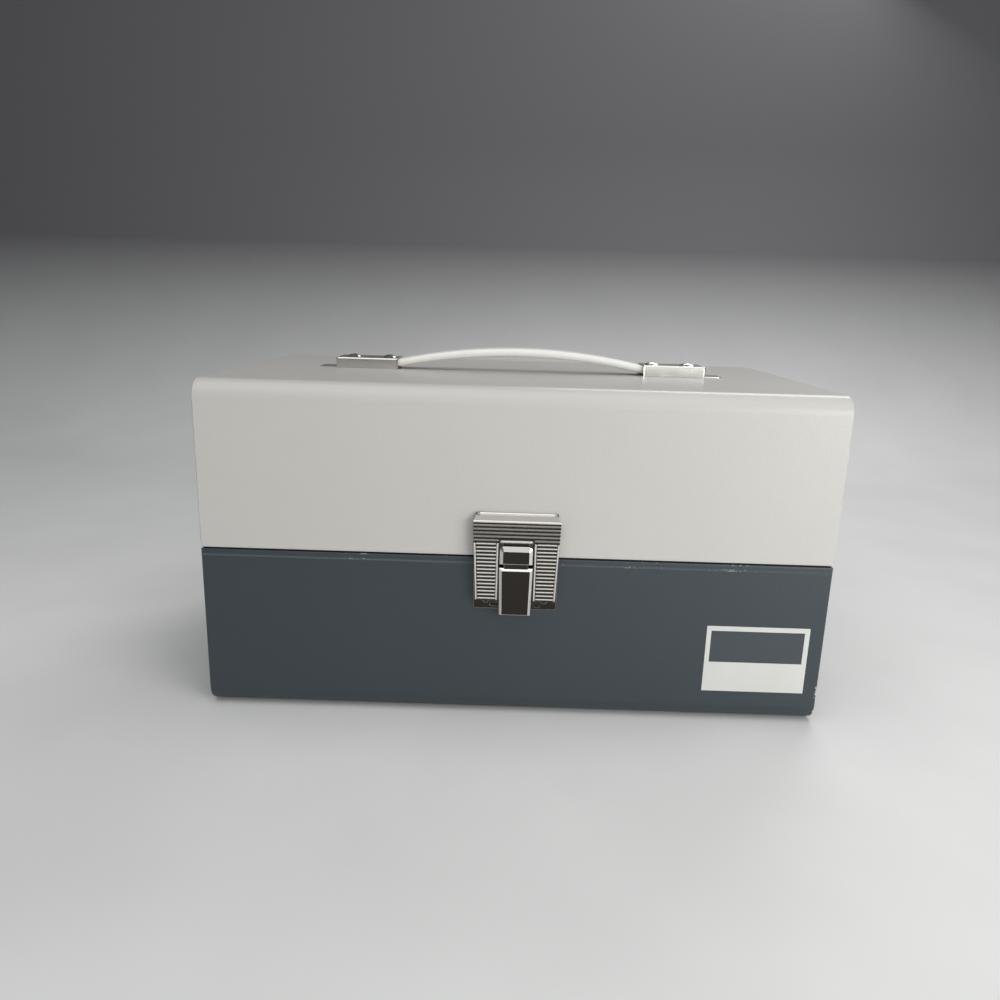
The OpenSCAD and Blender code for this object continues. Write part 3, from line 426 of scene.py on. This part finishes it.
felt, tree, shader = new_finish("felt")
fibre = place_node(tree, "ShaderNodeTexNoise", {
    "Vector": object_point(tree), "Scale": 1800.0, "Detail": 4.0, "Distortion": 1.5})
fuzz = place_node(tree, "ShaderNodeBump", {
    "Height": fibre.outputs["Fac"], "Strength": 0.8, "Distance": 0.0004})
tree.links.new(blend_colors(tree, fibre.outputs["Fac"], (0.010, 0.010, 0.011, 1), (0.045, 0.045, 0.048, 1)),
               shader.inputs["Base Color"])
tree.links.new(fuzz.outputs["Normal"], shader.inputs["Normal"])
shader.inputs["Roughness"].default_value = 1.0
shader.inputs["Sheen Weight"].default_value = 0.4

for word in ("front", "rear", "left", "right"):
    low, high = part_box(f"seal_{word}")
    size = high - low
    along = 0 if size.x > size.y else 1
    bm = bmesh.new()
    bmesh.ops.create_cube(bm, size=1.0)
    bmesh.ops.scale(bm, vec=size, verts=bm.verts[:])
    bmesh.ops.translate(bm, vec=(low + high) / 2, verts=bm.verts[:])
    long_edges = [edge for edge in bm.edges
                  if abs((edge.verts[0].co - edge.verts[1].co)[along]) > size[along] / 2]
    round_edges(bm, long_edges, 0.3 * mm, 2)
    long_edges = [edge for edge in bm.edges
                  if abs((edge.verts[0].co - edge.verts[1].co)[along]) > size[along] / 2]
    bmesh.ops.subdivide_edges(bm, edges=long_edges, cuts=round(size[along] / (3 * mm)))
    for vert in bm.verts:
        vert.co.z += noise.noise(vert.co * 160) * 0.25 * mm
    seal = make_mesh(f"felt_{word}", bm, felt)
    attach(seal, "base")
    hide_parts(f"seal_{word}")

# Hinges and small steel: two plated butt hinges on the back with their pins and rivets, and
# the studs and slotted stays inside both ends.

# Hair scratches in two directions, and the smears that handling leaves, for bare metal
handling_effect, given, made = new_effect(
    "handling", {"Scratches": 0.3, "Smear": 0.1},
    {"Normal": "NodeSocketVector", "Smear": "NodeSocketFloat"})
tree = handling_effect
point = object_point(tree)
line_masks = []
for turn, squeeze in ((0.35, (3200, 90, 90)), (-0.9, (2600, 70, 2600)), (1.9, (60, 60, 2900))):
    laid = place_node(tree, "ShaderNodeMapping", {
        "Vector": point, "Rotation": (turn, turn / 2, turn), "Scale": squeeze})
    streak = place_node(tree, "ShaderNodeTexNoise", {"Vector": laid.outputs["Vector"], "Scale": 1.0})
    line_masks.append(ramp_mask(tree, streak.outputs["Fac"], 0.66, 0.74))
crossed = arithmetic(tree, "MAXIMUM", line_masks[0], line_masks[1])
lines = arithmetic(tree, "MAXIMUM", crossed, line_masks[2])
scored = place_node(tree, "ShaderNodeBump", {
    "Height": lines, "Strength": given["Scratches"], "Distance": 0.00003}, invert=True)
tree.links.new(scored.outputs["Normal"], made["Normal"])
smear = place_node(tree, "ShaderNodeTexNoise", {"Vector": point, "Scale": 90.0, "Detail": 3.0})
smeared = arithmetic(tree, "MULTIPLY", ramp_mask(tree, smear.outputs["Fac"], 0.35, 0.7), given["Smear"])
tree.links.new(smeared, made["Smear"])


def plated_metal(name, bright, dull, polish, dullness, scratches=0.3, rub=0.0009):
    """Plated metal: dull on its flats, rubbed bright at its corners, with hair scratches."""
    finish, tree, shader = new_finish(name)
    touched = use_effect(tree, handling_effect, Scratches=scratches, Smear=0.12)
    rubbed = use_effect(tree, wear_effect, Width=rub, Spread=1.0, Grain=300.0)
    kept = arithmetic(tree, "SUBTRACT", dullness, arithmetic(tree, "MULTIPLY", rubbed["Mask"], dullness))
    tree.links.new(blend_colors(tree, kept, bright, dull), shader.inputs["Base Color"])
    tree.links.new(arithmetic(tree, "ADD", touched["Smear"], polish), shader.inputs["Roughness"])
    tree.links.new(touched["Normal"], shader.inputs["Normal"])
    shader.inputs["Metallic"].default_value = 1.0
    return finish


# Three copies of the latch's nickel for its faces. The first has nearly black flats, a painted dark
# reflection, with edges lightened as wear and painted highlight. The second is a painted midtone, and the
# third, near white, is a painted highlight for bevels, beads and ribs.
latch_painted_dark_reflection = plated_metal("latch_painted_dark_reflection", (0.70, 0.67, 0.62, 1), (0.024, 0.020, 0.016, 1), 0.12, 0.97,
                          rub=0.00025)
latch_painted_midtone = plated_metal("latch_painted_midtone", (0.55, 0.53, 0.50, 1), (0.26, 0.245, 0.225, 1), 0.14, 0.9,
                         rub=0.0003)
latch_painted_highlight = plated_metal("latch_painted_highlight", (0.84, 0.82, 0.78, 1), (0.66, 0.64, 0.60, 1), 0.14, 0.4,
                            rub=0.0003)
nickel = plated_metal("nickel", (0.78, 0.76, 0.72, 1), (0.62, 0.60, 0.56, 1), 0.15, 0.6)
zinc_steel = plated_metal("zinc_steel", (0.66, 0.66, 0.67, 1), (0.46, 0.46, 0.47, 1), 0.30, 0.7, 0.5)
spring_steel = plated_metal("spring_steel", (0.45, 0.45, 0.47, 1), (0.28, 0.29, 0.32, 1), 0.25, 0.8)

paint_node(nickel, "base_hinge_leaf_left", "base_hinge_leaf_right", "lid_hinge_leaf_left",
           "lid_hinge_leaf_right", "base_hinge_rivets", "lid_hinge_rivets", "stay_pivot_studs",
           "stay_slot_studs")
paint_node(zinc_steel, "hinge_pin_left", "hinge_pin_right", "stay_left", "stay_right")

# Catch on the base: the plate that it is riveted to, its rocker on a pin, and the leaf
# spring that pushes the rocker out. The spring is a leaf bent at its heel, standing between the plate and
# the rocker.
# The plate, its rivets and the rocker take the latch's painted dark reflection.
paint_node(latch_painted_dark_reflection, "catch_plate", "catch_plate_rivets", "catch_rocker")
paint_node(zinc_steel, "rocker_pin")

low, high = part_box("catch_spring")
spring_t = 0.25 * mm
spring_heel = low.z + 12 * mm
heel_r = 2 * mm
bm = bmesh.new()
leaf = [bm.verts.new((low.x, y, z)) for y, z in (
    (high.y, low.z), (high.y, spring_heel), (low.y + spring_t, high.z))]
leaf_edges = [bm.edges.new(pair) for pair in zip(leaf, leaf[1:])]
wide = bmesh.ops.extrude_edge_only(bm, edges=leaf_edges)["geom"]
bmesh.ops.translate(bm, verts=moved_verts(wide), vec=(high.x - low.x, 0, 0))
heel = [edge for edge in bm.edges if len(edge.link_faces) == 2]
bmesh.ops.bevel(bm, geom=heel, offset=heel_r, segments=6, profile=0.5, affect="EDGES", material=-1)
bmesh.ops.subdivide_edges(bm, edges=[edge for edge in bm.edges if abs(
    edge.verts[0].co.z - edge.verts[1].co.z) > heel_r], cuts=5)
face_outwards(bm, (0, 1, 0))
thicken(bm, spring_t)
leaf_spring = make_mesh("leaf_spring", bm, spring_steel)
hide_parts("catch_spring")
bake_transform(leaf_spring)

# Button and tongue: two bevelled caps of thin plated sheet on the rocker. The button shows in the
# hasp's window, and the tongue below it is what a finger pulls. Their front faces are a painted
# dark reflection, and their bevels and walls carry a painted highlight.
cap_depth = 7.7 * mm
cap_back = 4.7 * mm
cap_skin = 0.8 * mm
cap_fold_r = 0.22 * mm


def latch_point(x, depth, rise):
    """A point by its distance out from the case's front and its height above the shoulder."""
    return Vector((x, case_front - depth, seam_z + rise))


def pressed_cap(outline, round_tops, round_r, bevel_w, bevel_d, foot_shift, top_shift):
    """A hollow cap: the outline set back by the bevel's depth, its face drawn in and forward."""
    bm = bmesh.new()
    rim = [bm.verts.new(latch_point(x, cap_depth - bevel_d, rise)) for x, rise in outline]
    bm.faces.new(rim)
    middle = sum(rise for _, rise in outline) / len(outline)
    if round_tops:
        tops = [vert for vert in rim if vert.co.z - seam_z > middle]
        bmesh.ops.bevel(bm, geom=tops, offset=round_r, segments=6, profile=0.5,
                        affect="VERTICES", material=-1)
    bm.faces.ensure_lookup_table()
    bm.normal_update()
    face = bm.faces[0]
    bmesh.ops.inset_region(bm, faces=[face], thickness=bevel_w, use_even_offset=True, use_boundary=True)
    border = [edge for edge in bm.edges if edge.is_boundary]
    for vert in face.verts:
        vert.co.y -= bevel_d
        vert.co.z += top_shift if vert.co.z - seam_z > middle else foot_shift
    walls = bmesh.ops.extrude_edge_only(bm, edges=border)["geom"]
    bmesh.ops.translate(bm, verts=moved_verts(walls), vec=(0, cap_depth - bevel_d - cap_back, 0))
    face_outwards(bm, (0, -1, 0))
    thicken(bm, cap_skin)
    folds = [edge for edge in bm.edges if len(edge.link_faces) == 2
             and edge.calc_face_angle(0) > math.radians(25)]
    round_edges(bm, folds, cap_fold_r, 3)
    bm.normal_update()
    # Faces turned straight to the front take the first material, a painted dark reflection; the bevels and
    # walls take the second, a painted highlight.
    for face in bm.faces:
        face.material_index = 0 if face.normal.y < -0.99 else 1
    return bm


button_half = 9.5 * mm
button_low, button_high = -1.9 * mm, 9.0 * mm
button_outline = [(-button_half, button_low), (button_half, button_low),
                  (button_half, button_high), (-button_half, button_high)]
bm = pressed_cap(button_outline, round_tops=True, round_r=2.4 * mm, bevel_w=1.9 * mm,
                 bevel_d=1.4 * mm, foot_shift=-1.3 * mm, top_shift=-0.8 * mm)
button = make_mesh("latch_button", bm, latch_painted_dark_reflection, 30, [latch_painted_highlight])
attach(button, "catch")
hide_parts("catch_button")

tongue_half, tongue_low_half = 9.8 * mm, 9.15 * mm
tongue_top, tongue_low = -3.8 * mm, -32.9 * mm
tongue_outline = [(-tongue_low_half, tongue_low), (tongue_low_half, tongue_low),
                  (tongue_half, tongue_top), (-tongue_half, tongue_top)]
bm = pressed_cap(tongue_outline, round_tops=False, round_r=0, bevel_w=1.4 * mm,
                 bevel_d=1.3 * mm, foot_shift=-0.7 * mm, top_shift=-0.1 * mm)
tongue = make_mesh("latch_tongue", bm, latch_painted_dark_reflection, 30, [latch_painted_highlight])
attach(tongue, "catch")
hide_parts("catch_tongue")

# Lid shell: top, front and back of the lid from one bent sheet, in warm light-grey enamel,
# and its two end pans, whose flanges stop short of the light trap.
lid_low, lid_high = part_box("lid_wrap")
top_z = lid_high.z
lid_z = lid_low.z
lid_enamel = enamel("lid_enamel", (0.56, 0.545, 0.515, 1), (0.58, 0.565, 0.535, 1),
                    (0.66, 0.65, 0.62, 1), (0.30, 0.31, 0.31, 1), gloss=0.30, chips=0.45)
lid_shell = make_mesh("lid_shell", bent_wrap(lid_z, top_z), lid_enamel)
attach(lid_shell, "lid")
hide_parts("lid_wrap")
lip_room = 14.0 * mm
add_end_pans("lid", lid_z, lid_z + lip_room, top_z, lid_enamel)

# Hasp: an inverted U of plated sheet, hinged by its hipped top on a bracket on the lid. Its
# face has pressed ribs, a bead over the window and beads down both sides of each leg. Its flats
# are a painted dark reflection; the beads, leg ribs and small upward faces are a painted
# highlight, and the top block's ribs and hip flat a painted midtone.
hasp_depth = 5.8 * mm
hasp_back = 1.6 * mm
hasp_t = 0.9 * mm
hasp_rise, hasp_drop = 23.2 * mm, 24.2 * mm
hasp_top_half, hasp_low_half = 25.2 * mm, 23.3 * mm
hasp_taper = (hasp_top_half - hasp_low_half) / (hasp_rise + hasp_drop)
notch_half, notch_rise = 10.3 * mm, 10.8 * mm
hip_depth, hip_rise, hip_end = 2.7 * mm, 26.2 * mm, 1.6 * mm
pin_depth, pin_rise, ear_r = 1.15 * mm, 26.6 * mm, 0.9 * mm
painted_highlight_slot, painted_midtone_slot = 1, 2


def hasp_half(rise):
    """Half of the hasp's width at a height above the shoulder."""
    return hasp_top_half - (hasp_rise - rise) * hasp_taper


def add_bar(bm, start, end, width, height, radius, tone, segments=3):
    """A bar with rounded edges between two points of the latch's face, in one of its materials."""
    ends = end - start
    made = bmesh.ops.create_cube(bm, size=1.0)["verts"]
    bmesh.ops.scale(bm, vec=(ends.length, height, width), verts=made)
    turn = Vector((1, 0, 0)).rotation_difference(ends.normalized()).to_matrix()
    bmesh.ops.rotate(bm, matrix=turn, verts=made)
    bmesh.ops.translate(bm, vec=(start + end) / 2, verts=made)
    for face in {face for vert in made for face in vert.link_faces}:
        face.material_index = tone
    edges = {edge for vert in made for edge in vert.link_edges}
    round_edges(bm, list(edges), radius, segments)


bm = bmesh.new()
hasp_outline = [
    (-hasp_low_half, -hasp_drop), (-notch_half, -hasp_drop), (-notch_half, notch_rise),
    (notch_half, notch_rise), (notch_half, -hasp_drop), (hasp_low_half, -hasp_drop),
    (hasp_top_half, hasp_rise), (-hasp_top_half, hasp_rise)]
corners = [bm.verts.new(latch_point(x, hasp_depth, rise)) for x, rise in hasp_outline]
plate = bm.faces.new(corners)
upright = [edge for edge in plate.edges if abs(edge.verts[0].co.z - edge.verts[1].co.z) > 10 * mm]
sides = bmesh.ops.extrude_edge_only(bm, edges=upright)["geom"]
bmesh.ops.translate(bm, verts=moved_verts(sides), vec=(0, hasp_depth - hasp_back, 0))
crown = [edge for edge in plate.edges
         if all(vert.co.z > seam_z + hasp_rise - 0.1 * mm for vert in edge.verts)]
hip = moved_verts(bmesh.ops.extrude_edge_only(bm, edges=crown)["geom"])
for vert in hip:
    vert.co.x -= math.copysign(hip_end, vert.co.x)
    vert.co.y = case_front - hip_depth
    vert.co.z = seam_z + hip_rise
ridge = [edge for edge in bm.edges if all(vert in hip for vert in edge.verts)]
rear_edge = moved_verts(bmesh.ops.extrude_edge_only(bm, edges=ridge)["geom"])
for vert in rear_edge:
    vert.co.y = case_front - hasp_back
for side in (-1, 1):
    near = [vert for vert in bm.verts if vert.co.x * side > 20 * mm and vert.co.z > seam_z + 20 * mm]
    bmesh.ops.contextual_create(bm, geom=near)
bmesh.ops.remove_doubles(bm, verts=bm.verts[:], dist=0.01 * mm)
face_outwards(bm, (0, -1, 0))
thicken(bm, hasp_t)
crown_edges = [edge for edge in bm.edges if all(
    abs(vert.co.z - seam_z - hasp_rise) < 0.05 * mm
    and abs(vert.co.y - case_front + hasp_depth) < 0.05 * mm for vert in edge.verts)]
round_edges(bm, crown_edges, 0.8 * mm, 4)
sharp = [edge for edge in bm.edges if len(edge.link_faces) == 2
         and edge.calc_face_angle(0) > math.radians(50)]
round_edges(bm, sharp, 0.2 * mm, 2)
bm.normal_update()
hip_flat_area = 50 * mm * mm
# Upward faces of the hipped top are lighter as painted light: the large hip flat takes the painted midtone,
# the small rounded faces the painted highlight.
for face in bm.faces:
    if face.calc_center_median().z > seam_z + hasp_rise - 1.0 * mm and face.normal.z > 0.15:
        face.material_index = painted_midtone_slot if face.calc_area() > hip_flat_area else painted_highlight_slot

rib_pitch, rib_w, rib_r, rib_end = 2.2 * mm, 0.75 * mm, 0.35 * mm, 0.2 * mm
leg_margin = 1.5 * mm
rib_rise = hasp_rise - 2.0 * mm
while rib_rise > 1.0 * mm - hasp_drop:
    half = hasp_half(rib_rise)
    if rib_rise > notch_rise + 2.4 * mm:
        spans = [(rib_end - half, half - rib_end)]
    elif rib_rise > notch_rise:
        spans = [(rib_end - half, -notch_half), (notch_half, half - rib_end)]
    else:
        spans = [(leg_margin - half, -notch_half - leg_margin),
                 (notch_half + leg_margin, half - leg_margin)]
    # Ribs on the top block take the painted midtone, ribs on the legs the painted highlight.
    for first, last in spans:
        add_bar(bm, latch_point(first, hasp_depth, rib_rise),
                latch_point(last, hasp_depth, rib_rise),
                rib_w, rib_w, rib_r, painted_midtone_slot if rib_rise > notch_rise else painted_highlight_slot)
    rib_rise -= rib_pitch

# The beads down the legs and the brow bead over the window are all in the painted highlight.
bead_w, bead_r, bead_inset = 1.0 * mm, 0.45 * mm, 0.6 * mm
leg_top = notch_rise - 0.2 * mm
leg_foot = 0.4 * mm - hasp_drop
for side in (-1, 1):
    outer_top = side * (hasp_half(leg_top) - bead_inset)
    outer_foot = side * (hasp_half(leg_foot) - bead_inset)
    add_bar(bm, latch_point(outer_foot, hasp_depth, leg_foot),
            latch_point(outer_top, hasp_depth, leg_top), bead_w, bead_w, bead_r, painted_highlight_slot)
    inner = side * (notch_half + bead_inset)
    add_bar(bm, latch_point(inner, hasp_depth, leg_foot),
            latch_point(inner, hasp_depth, leg_top), bead_w, bead_w, bead_r, painted_highlight_slot)
brow_half, brow_rise, brow_w = 9.2 * mm, notch_rise + 0.9 * mm, 1.3 * mm
add_bar(bm, latch_point(-brow_half, hasp_depth, brow_rise),
        latch_point(brow_half, hasp_depth, brow_rise), brow_w, bead_w, bead_r, painted_highlight_slot)

for side in (-1, 1):
    ear_x = side * (hasp_top_half - hip_end - hasp_t / 2)
    bmesh.ops.create_cone(bm, cap_ends=True, segments=24, radius1=ear_r, radius2=ear_r, depth=hasp_t,
                          matrix=Matrix.Translation(latch_point(ear_x, pin_depth, pin_rise))
                          @ Matrix.Rotation(math.pi / 2, 4, "Y"))
hasp = make_mesh("ribbed_hasp", bm, latch_painted_dark_reflection, 32, [latch_painted_highlight, latch_painted_midtone])
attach(hasp, "hasp")
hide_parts("hasp")
# The bracket and its rivets take the painted highlight copy of the nickel.
paint_node(latch_painted_highlight, "hasp_bracket", "hasp_bracket_rivets")
paint_node(zinc_steel, "hasp_pin")

# Handle caps: two drawn channels riveted to the lid through backing plates. Each is open at
# its mouth, which has a slight lip, and has a flat tab beyond its outer end.
cap_low, cap_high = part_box("handle_cap_right")
cap_mouth = cap_low.x
cap_end = cap_mouth + 41.5 * mm
cap_half = 12 * mm
cap_top = top_z + 7.2 * mm
cap_fold, cap_rim_r = 1.5 * mm, 0.15 * mm
cap_lip, cap_lip_l = 0.4 * mm, 1.3 * mm
cap_t = 0.7 * mm
tab_reach, tab_half, tab_t = 12 * mm, 8 * mm, 0.5 * mm
tab_corner, tab_edge = 3 * mm, 0.2 * mm


def strap_cap(side):
    """A cap's channel with its lip and its tab, made at the right and turned for the left."""
    bm = bmesh.new()
    touch = 0.01 * mm
    shell = bmesh.ops.create_cube(bm, size=1.0)["verts"]
    bmesh.ops.scale(bm, vec=(cap_end - cap_mouth, 2 * cap_half, cap_top - top_z), verts=shell)
    bmesh.ops.translate(bm, vec=((cap_end + cap_mouth) / 2, 0, (cap_top + top_z) / 2), verts=shell)
    bm.normal_update()
    open_faces = [face for face in bm.faces if face.normal.z < -0.9 or face.normal.x < -0.9]
    bmesh.ops.delete(bm, geom=open_faces, context="FACES")
    long_top = [edge for edge in bm.edges if len(edge.link_faces) == 2]
    round_edges(bm, long_top, cap_fold, 6)
    bmesh.ops.bisect_plane(bm, geom=bm.verts[:] + bm.edges[:] + bm.faces[:], dist=0.001 * mm,
                           plane_co=(cap_mouth + cap_lip_l, 0, 0), plane_no=(1, 0, 0))
    lip = [vert for vert in bm.verts if vert.co.x < cap_mouth + 0.1 * mm]
    for vert in lip:
        vert.co.y *= 1 + cap_lip / cap_half
        vert.co.z += cap_lip * (vert.co.z - top_z) / (cap_top - top_z)
    face_outwards(bm, (0, 0, 1))
    thicken(bm, cap_t)
    rims = [edge for edge in bm.edges if len(edge.link_faces) == 2
            and edge.calc_face_angle(0) > math.radians(60)]
    round_edges(bm, rims, cap_rim_r, 2)
    tab = [bm.verts.new((x, y, top_z)) for x, y in (
        (cap_end - cap_t, -tab_half), (cap_end + tab_reach, -tab_half),
        (cap_end + tab_reach, tab_half), (cap_end - cap_t, tab_half))]
    bm.faces.new(tab)
    bmesh.ops.bevel(bm, geom=tab[1:3], offset=tab_corner, segments=6, profile=0.5,
                    affect="VERTICES", material=-1)
    tab_face = next(face for face in bm.faces if len(face.verts) > 12)
    raised = bmesh.ops.extrude_face_region(bm, geom=[tab_face])["geom"]
    bmesh.ops.translate(bm, vec=(0, 0, tab_t), verts=moved_verts(raised))
    top_edges = [edge for edge in bm.edges if edge.is_valid and len(edge.link_faces) == 2
                 and all(abs(vert.co.z - top_z - tab_t) < touch and vert.co.x > cap_end - cap_t - touch
                         for vert in edge.verts)]
    round_edges(bm, top_edges, tab_edge, 2)
    if side < 0:
        bmesh.ops.scale(bm, vec=(-1, 1, 1), verts=bm.verts[:])
        bmesh.ops.reverse_faces(bm, faces=bm.faces[:])
    return bm


for side, word in ((-1, "left"), (1, "right")):
    cap = make_mesh(f"strap_cap_{word}", strap_cap(side), nickel, 32)
    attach(cap, "lid")
    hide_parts(f"handle_cap_{word}")
paint_node(nickel, "cap_rivets")
paint_node(zinc_steel, "handle_backing_plates")

# Strap: a moulded off-white vinyl sleeve, thicker in the middle than at its ends, over a
# spring-steel band whose feet slide on the cap rivets.
strap_half_w = 9.5 * mm
strap_rise, mouth_rise = 12.8 * mm, 3.8 * mm
sleeve_end = cap_mouth + 0.6 * mm
strap_arch_r = (sleeve_end ** 2 + (strap_rise - mouth_rise) ** 2) / (2 * (strap_rise - mouth_rise))
grip_half = 48 * mm
middle_t, end_t = 5.6 * mm, 5.0 * mm
taper_reach = 1.6 * grip_half

vinyl, tree, shader = new_finish("strap_vinyl")
skin = use_effect(tree, peel_effect, Size=0.0009, Peel=0.15, Wave=0.15)
tree.links.new(blend_colors(tree, skin["Mottle"], (0.86, 0.85, 0.81, 1), (0.89, 0.88, 0.84, 1)),
               shader.inputs["Base Color"])
tree.links.new(skin["Normal"], shader.inputs["Normal"])
shader.inputs["Roughness"].default_value = 0.32
shader.inputs["Subsurface Weight"].default_value = 0.05
shader.inputs["Subsurface Radius"].default_value = (0.002, 0.0015, 0.001)

arch_center = Vector((0, 0, top_z + strap_rise - strap_arch_r))
sleeve_angle = math.asin(sleeve_end / strap_arch_r)


def lifting_half(piece):
    """Bakes the half's placement into its mesh."""
    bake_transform(piece)


def swept_half(side):
    """The sleeve's rounded section at the arch's crown, spun down the arch to one side."""
    bm = bmesh.new()
    ring = bmesh.ops.create_circle(bm, segments=28, radius=middle_t / 2, matrix=(
        Matrix.Translation(arch_center + Vector((0, 0, strap_arch_r)))
        @ Matrix.Rotation(math.pi / 2, 4, "Y")))["verts"]
    spread = strap_half_w - middle_t / 2
    for vert in ring:
        if abs(vert.co.y) > 0.05 * mm:
            vert.co.y += math.copysign(spread, vert.co.y)
    crown_loop = bm.edges[:]
    spun = bmesh.ops.spin(bm, geom=bm.verts[:] + bm.edges[:], cent=arch_center, axis=(0, 1, 0),
                          angle=side * sleeve_angle, steps=28, use_merge=False, use_duplicate=False)
    end_loop = [part for part in spun["geom_last"] if isinstance(part, bmesh.types.BMEdge)]
    bmesh.ops.edgeloop_fill(bm, edges=crown_loop)
    bmesh.ops.edgeloop_fill(bm, edges=end_loop)
    bmesh.ops.recalc_face_normals(bm, faces=bm.faces[:])
    return bm


for side, word in ((-1, "left"), (1, "right")):
    bm = swept_half(side)
    for vert in bm.verts:
        arm = vert.co - arch_center
        height = math.hypot(arm.x, arm.z)
        share = min(1, abs(vert.co.x) / taper_reach)
        thin = 1 + (end_t / middle_t - 1) * share * share
        scaled = (strap_arch_r + (height - strap_arch_r) * thin) / height
        vert.co.x = arch_center.x + arm.x * scaled
        vert.co.z = arch_center.z + arm.z * scaled
    half_strap = make_mesh(f"strap_{word}", bm, vinyl, 50)
    if side < 0:
        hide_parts("strap_end_left", "handle_grip")
    else:
        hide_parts("strap_end_right")
    lifting_half(half_strap)

band_low, band_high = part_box("handle_band")
band_half_w = band_high.y - 0.2 * mm
band_t = 0.8 * mm
foot_z = band_low.z + band_t / 2
level_end = cap_mouth + 9 * mm
for side, word in ((-1, "left"), (1, "right")):
    bm = bmesh.new()
    steps = [step / 24 for step in range(25)]
    reaches = [sleeve_end * share for share in steps]
    points = [(x, arch_center.z + math.sqrt(strap_arch_r ** 2 - x ** 2)) for x in reaches]
    points += [(level_end, foot_z), (band_high.x, foot_z)]
    row = [bm.verts.new((side * x, -band_half_w, z)) for x, z in points]
    run = [bm.edges.new(pair) for pair in zip(row, row[1:])]
    across = bmesh.ops.extrude_edge_only(bm, edges=run)["geom"]
    bmesh.ops.translate(bm, verts=moved_verts(across), vec=(0, 2 * band_half_w, 0))
    face_outwards(bm, (0, 0, 1))
    thicken(bm, band_t)
    bmesh.ops.translate(bm, verts=bm.verts[:], vec=(0, 0, band_t / 2))
    half_band = make_mesh(f"band_{word}", bm, spring_steel)
    if side < 0:
        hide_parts("handle_band")
    lifting_half(half_band)

# Label: a plain paper label on the base's front, white with a blank slate panel printed in
# its upper half. It carries no words.
label_x = (114.5 * mm, 175.4 * mm)
label_z = (19.9 * mm, 61.7 * mm)
panel_x = (117.2 * mm, 172.5 * mm)
panel_z = (38.8 * mm, 58.7 * mm)
label_t = 0.12 * mm


def label_finish(name, color, second, roughness):
    finish, tree, shader = new_finish(name)
    pulp = place_node(tree, "ShaderNodeTexNoise", {
        "Vector": object_point(tree), "Scale": 1400.0, "Detail": 5.0})
    tone = place_node(tree, "ShaderNodeTexNoise", {
        "Vector": object_point(tree), "Scale": 60.0, "Detail": 3.0})
    tree.links.new(blend_colors(tree, tone.outputs["Fac"], color, second), shader.inputs["Base Color"])
    pressed = place_node(tree, "ShaderNodeBump", {
        "Height": pulp.outputs["Fac"], "Strength": 0.12, "Distance": 0.0001})
    tree.links.new(pressed.outputs["Normal"], shader.inputs["Normal"])
    shader.inputs["Roughness"].default_value = roughness
    return finish


label_paper = label_finish("label_paper", (0.62, 0.62, 0.59, 1), (0.70, 0.70, 0.67, 1), 0.45)
label_print = label_finish("label_print", (0.040, 0.052, 0.062, 1), (0.048, 0.061, 0.072, 1), 0.42)

bm = bmesh.new()
label_corners = [bm.verts.new((x, case_front - label_t, z)) for x, z in (
    (label_x[0], label_z[0]), (label_x[1], label_z[0]),
    (label_x[1], label_z[1]), (label_x[0], label_z[1]))]
bm.faces.new(label_corners)
for axis, places in ((0, panel_x), (2, panel_z)):
    for place in places:
        cut_at, cut_normal = Vector((0, 0, 0)), Vector((0, 0, 0))
        cut_at[axis] = place
        cut_normal[axis] = 1
        bmesh.ops.bisect_plane(bm, geom=bm.verts[:] + bm.edges[:] + bm.faces[:], dist=0.001 * mm,
                               plane_co=cut_at, plane_no=cut_normal)
face_outwards(bm, (0, -1, 0))
for face in bm.faces:
    middle = face.calc_center_median()
    if panel_x[0] < middle.x < panel_x[1] and panel_z[0] < middle.z < panel_z[1]:
        face.material_index = 1
thicken(bm, label_t - 0.01 * mm)
label = make_mesh("blank_label", bm, label_paper)
label.data.materials.append(label_print)
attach(label, "base")
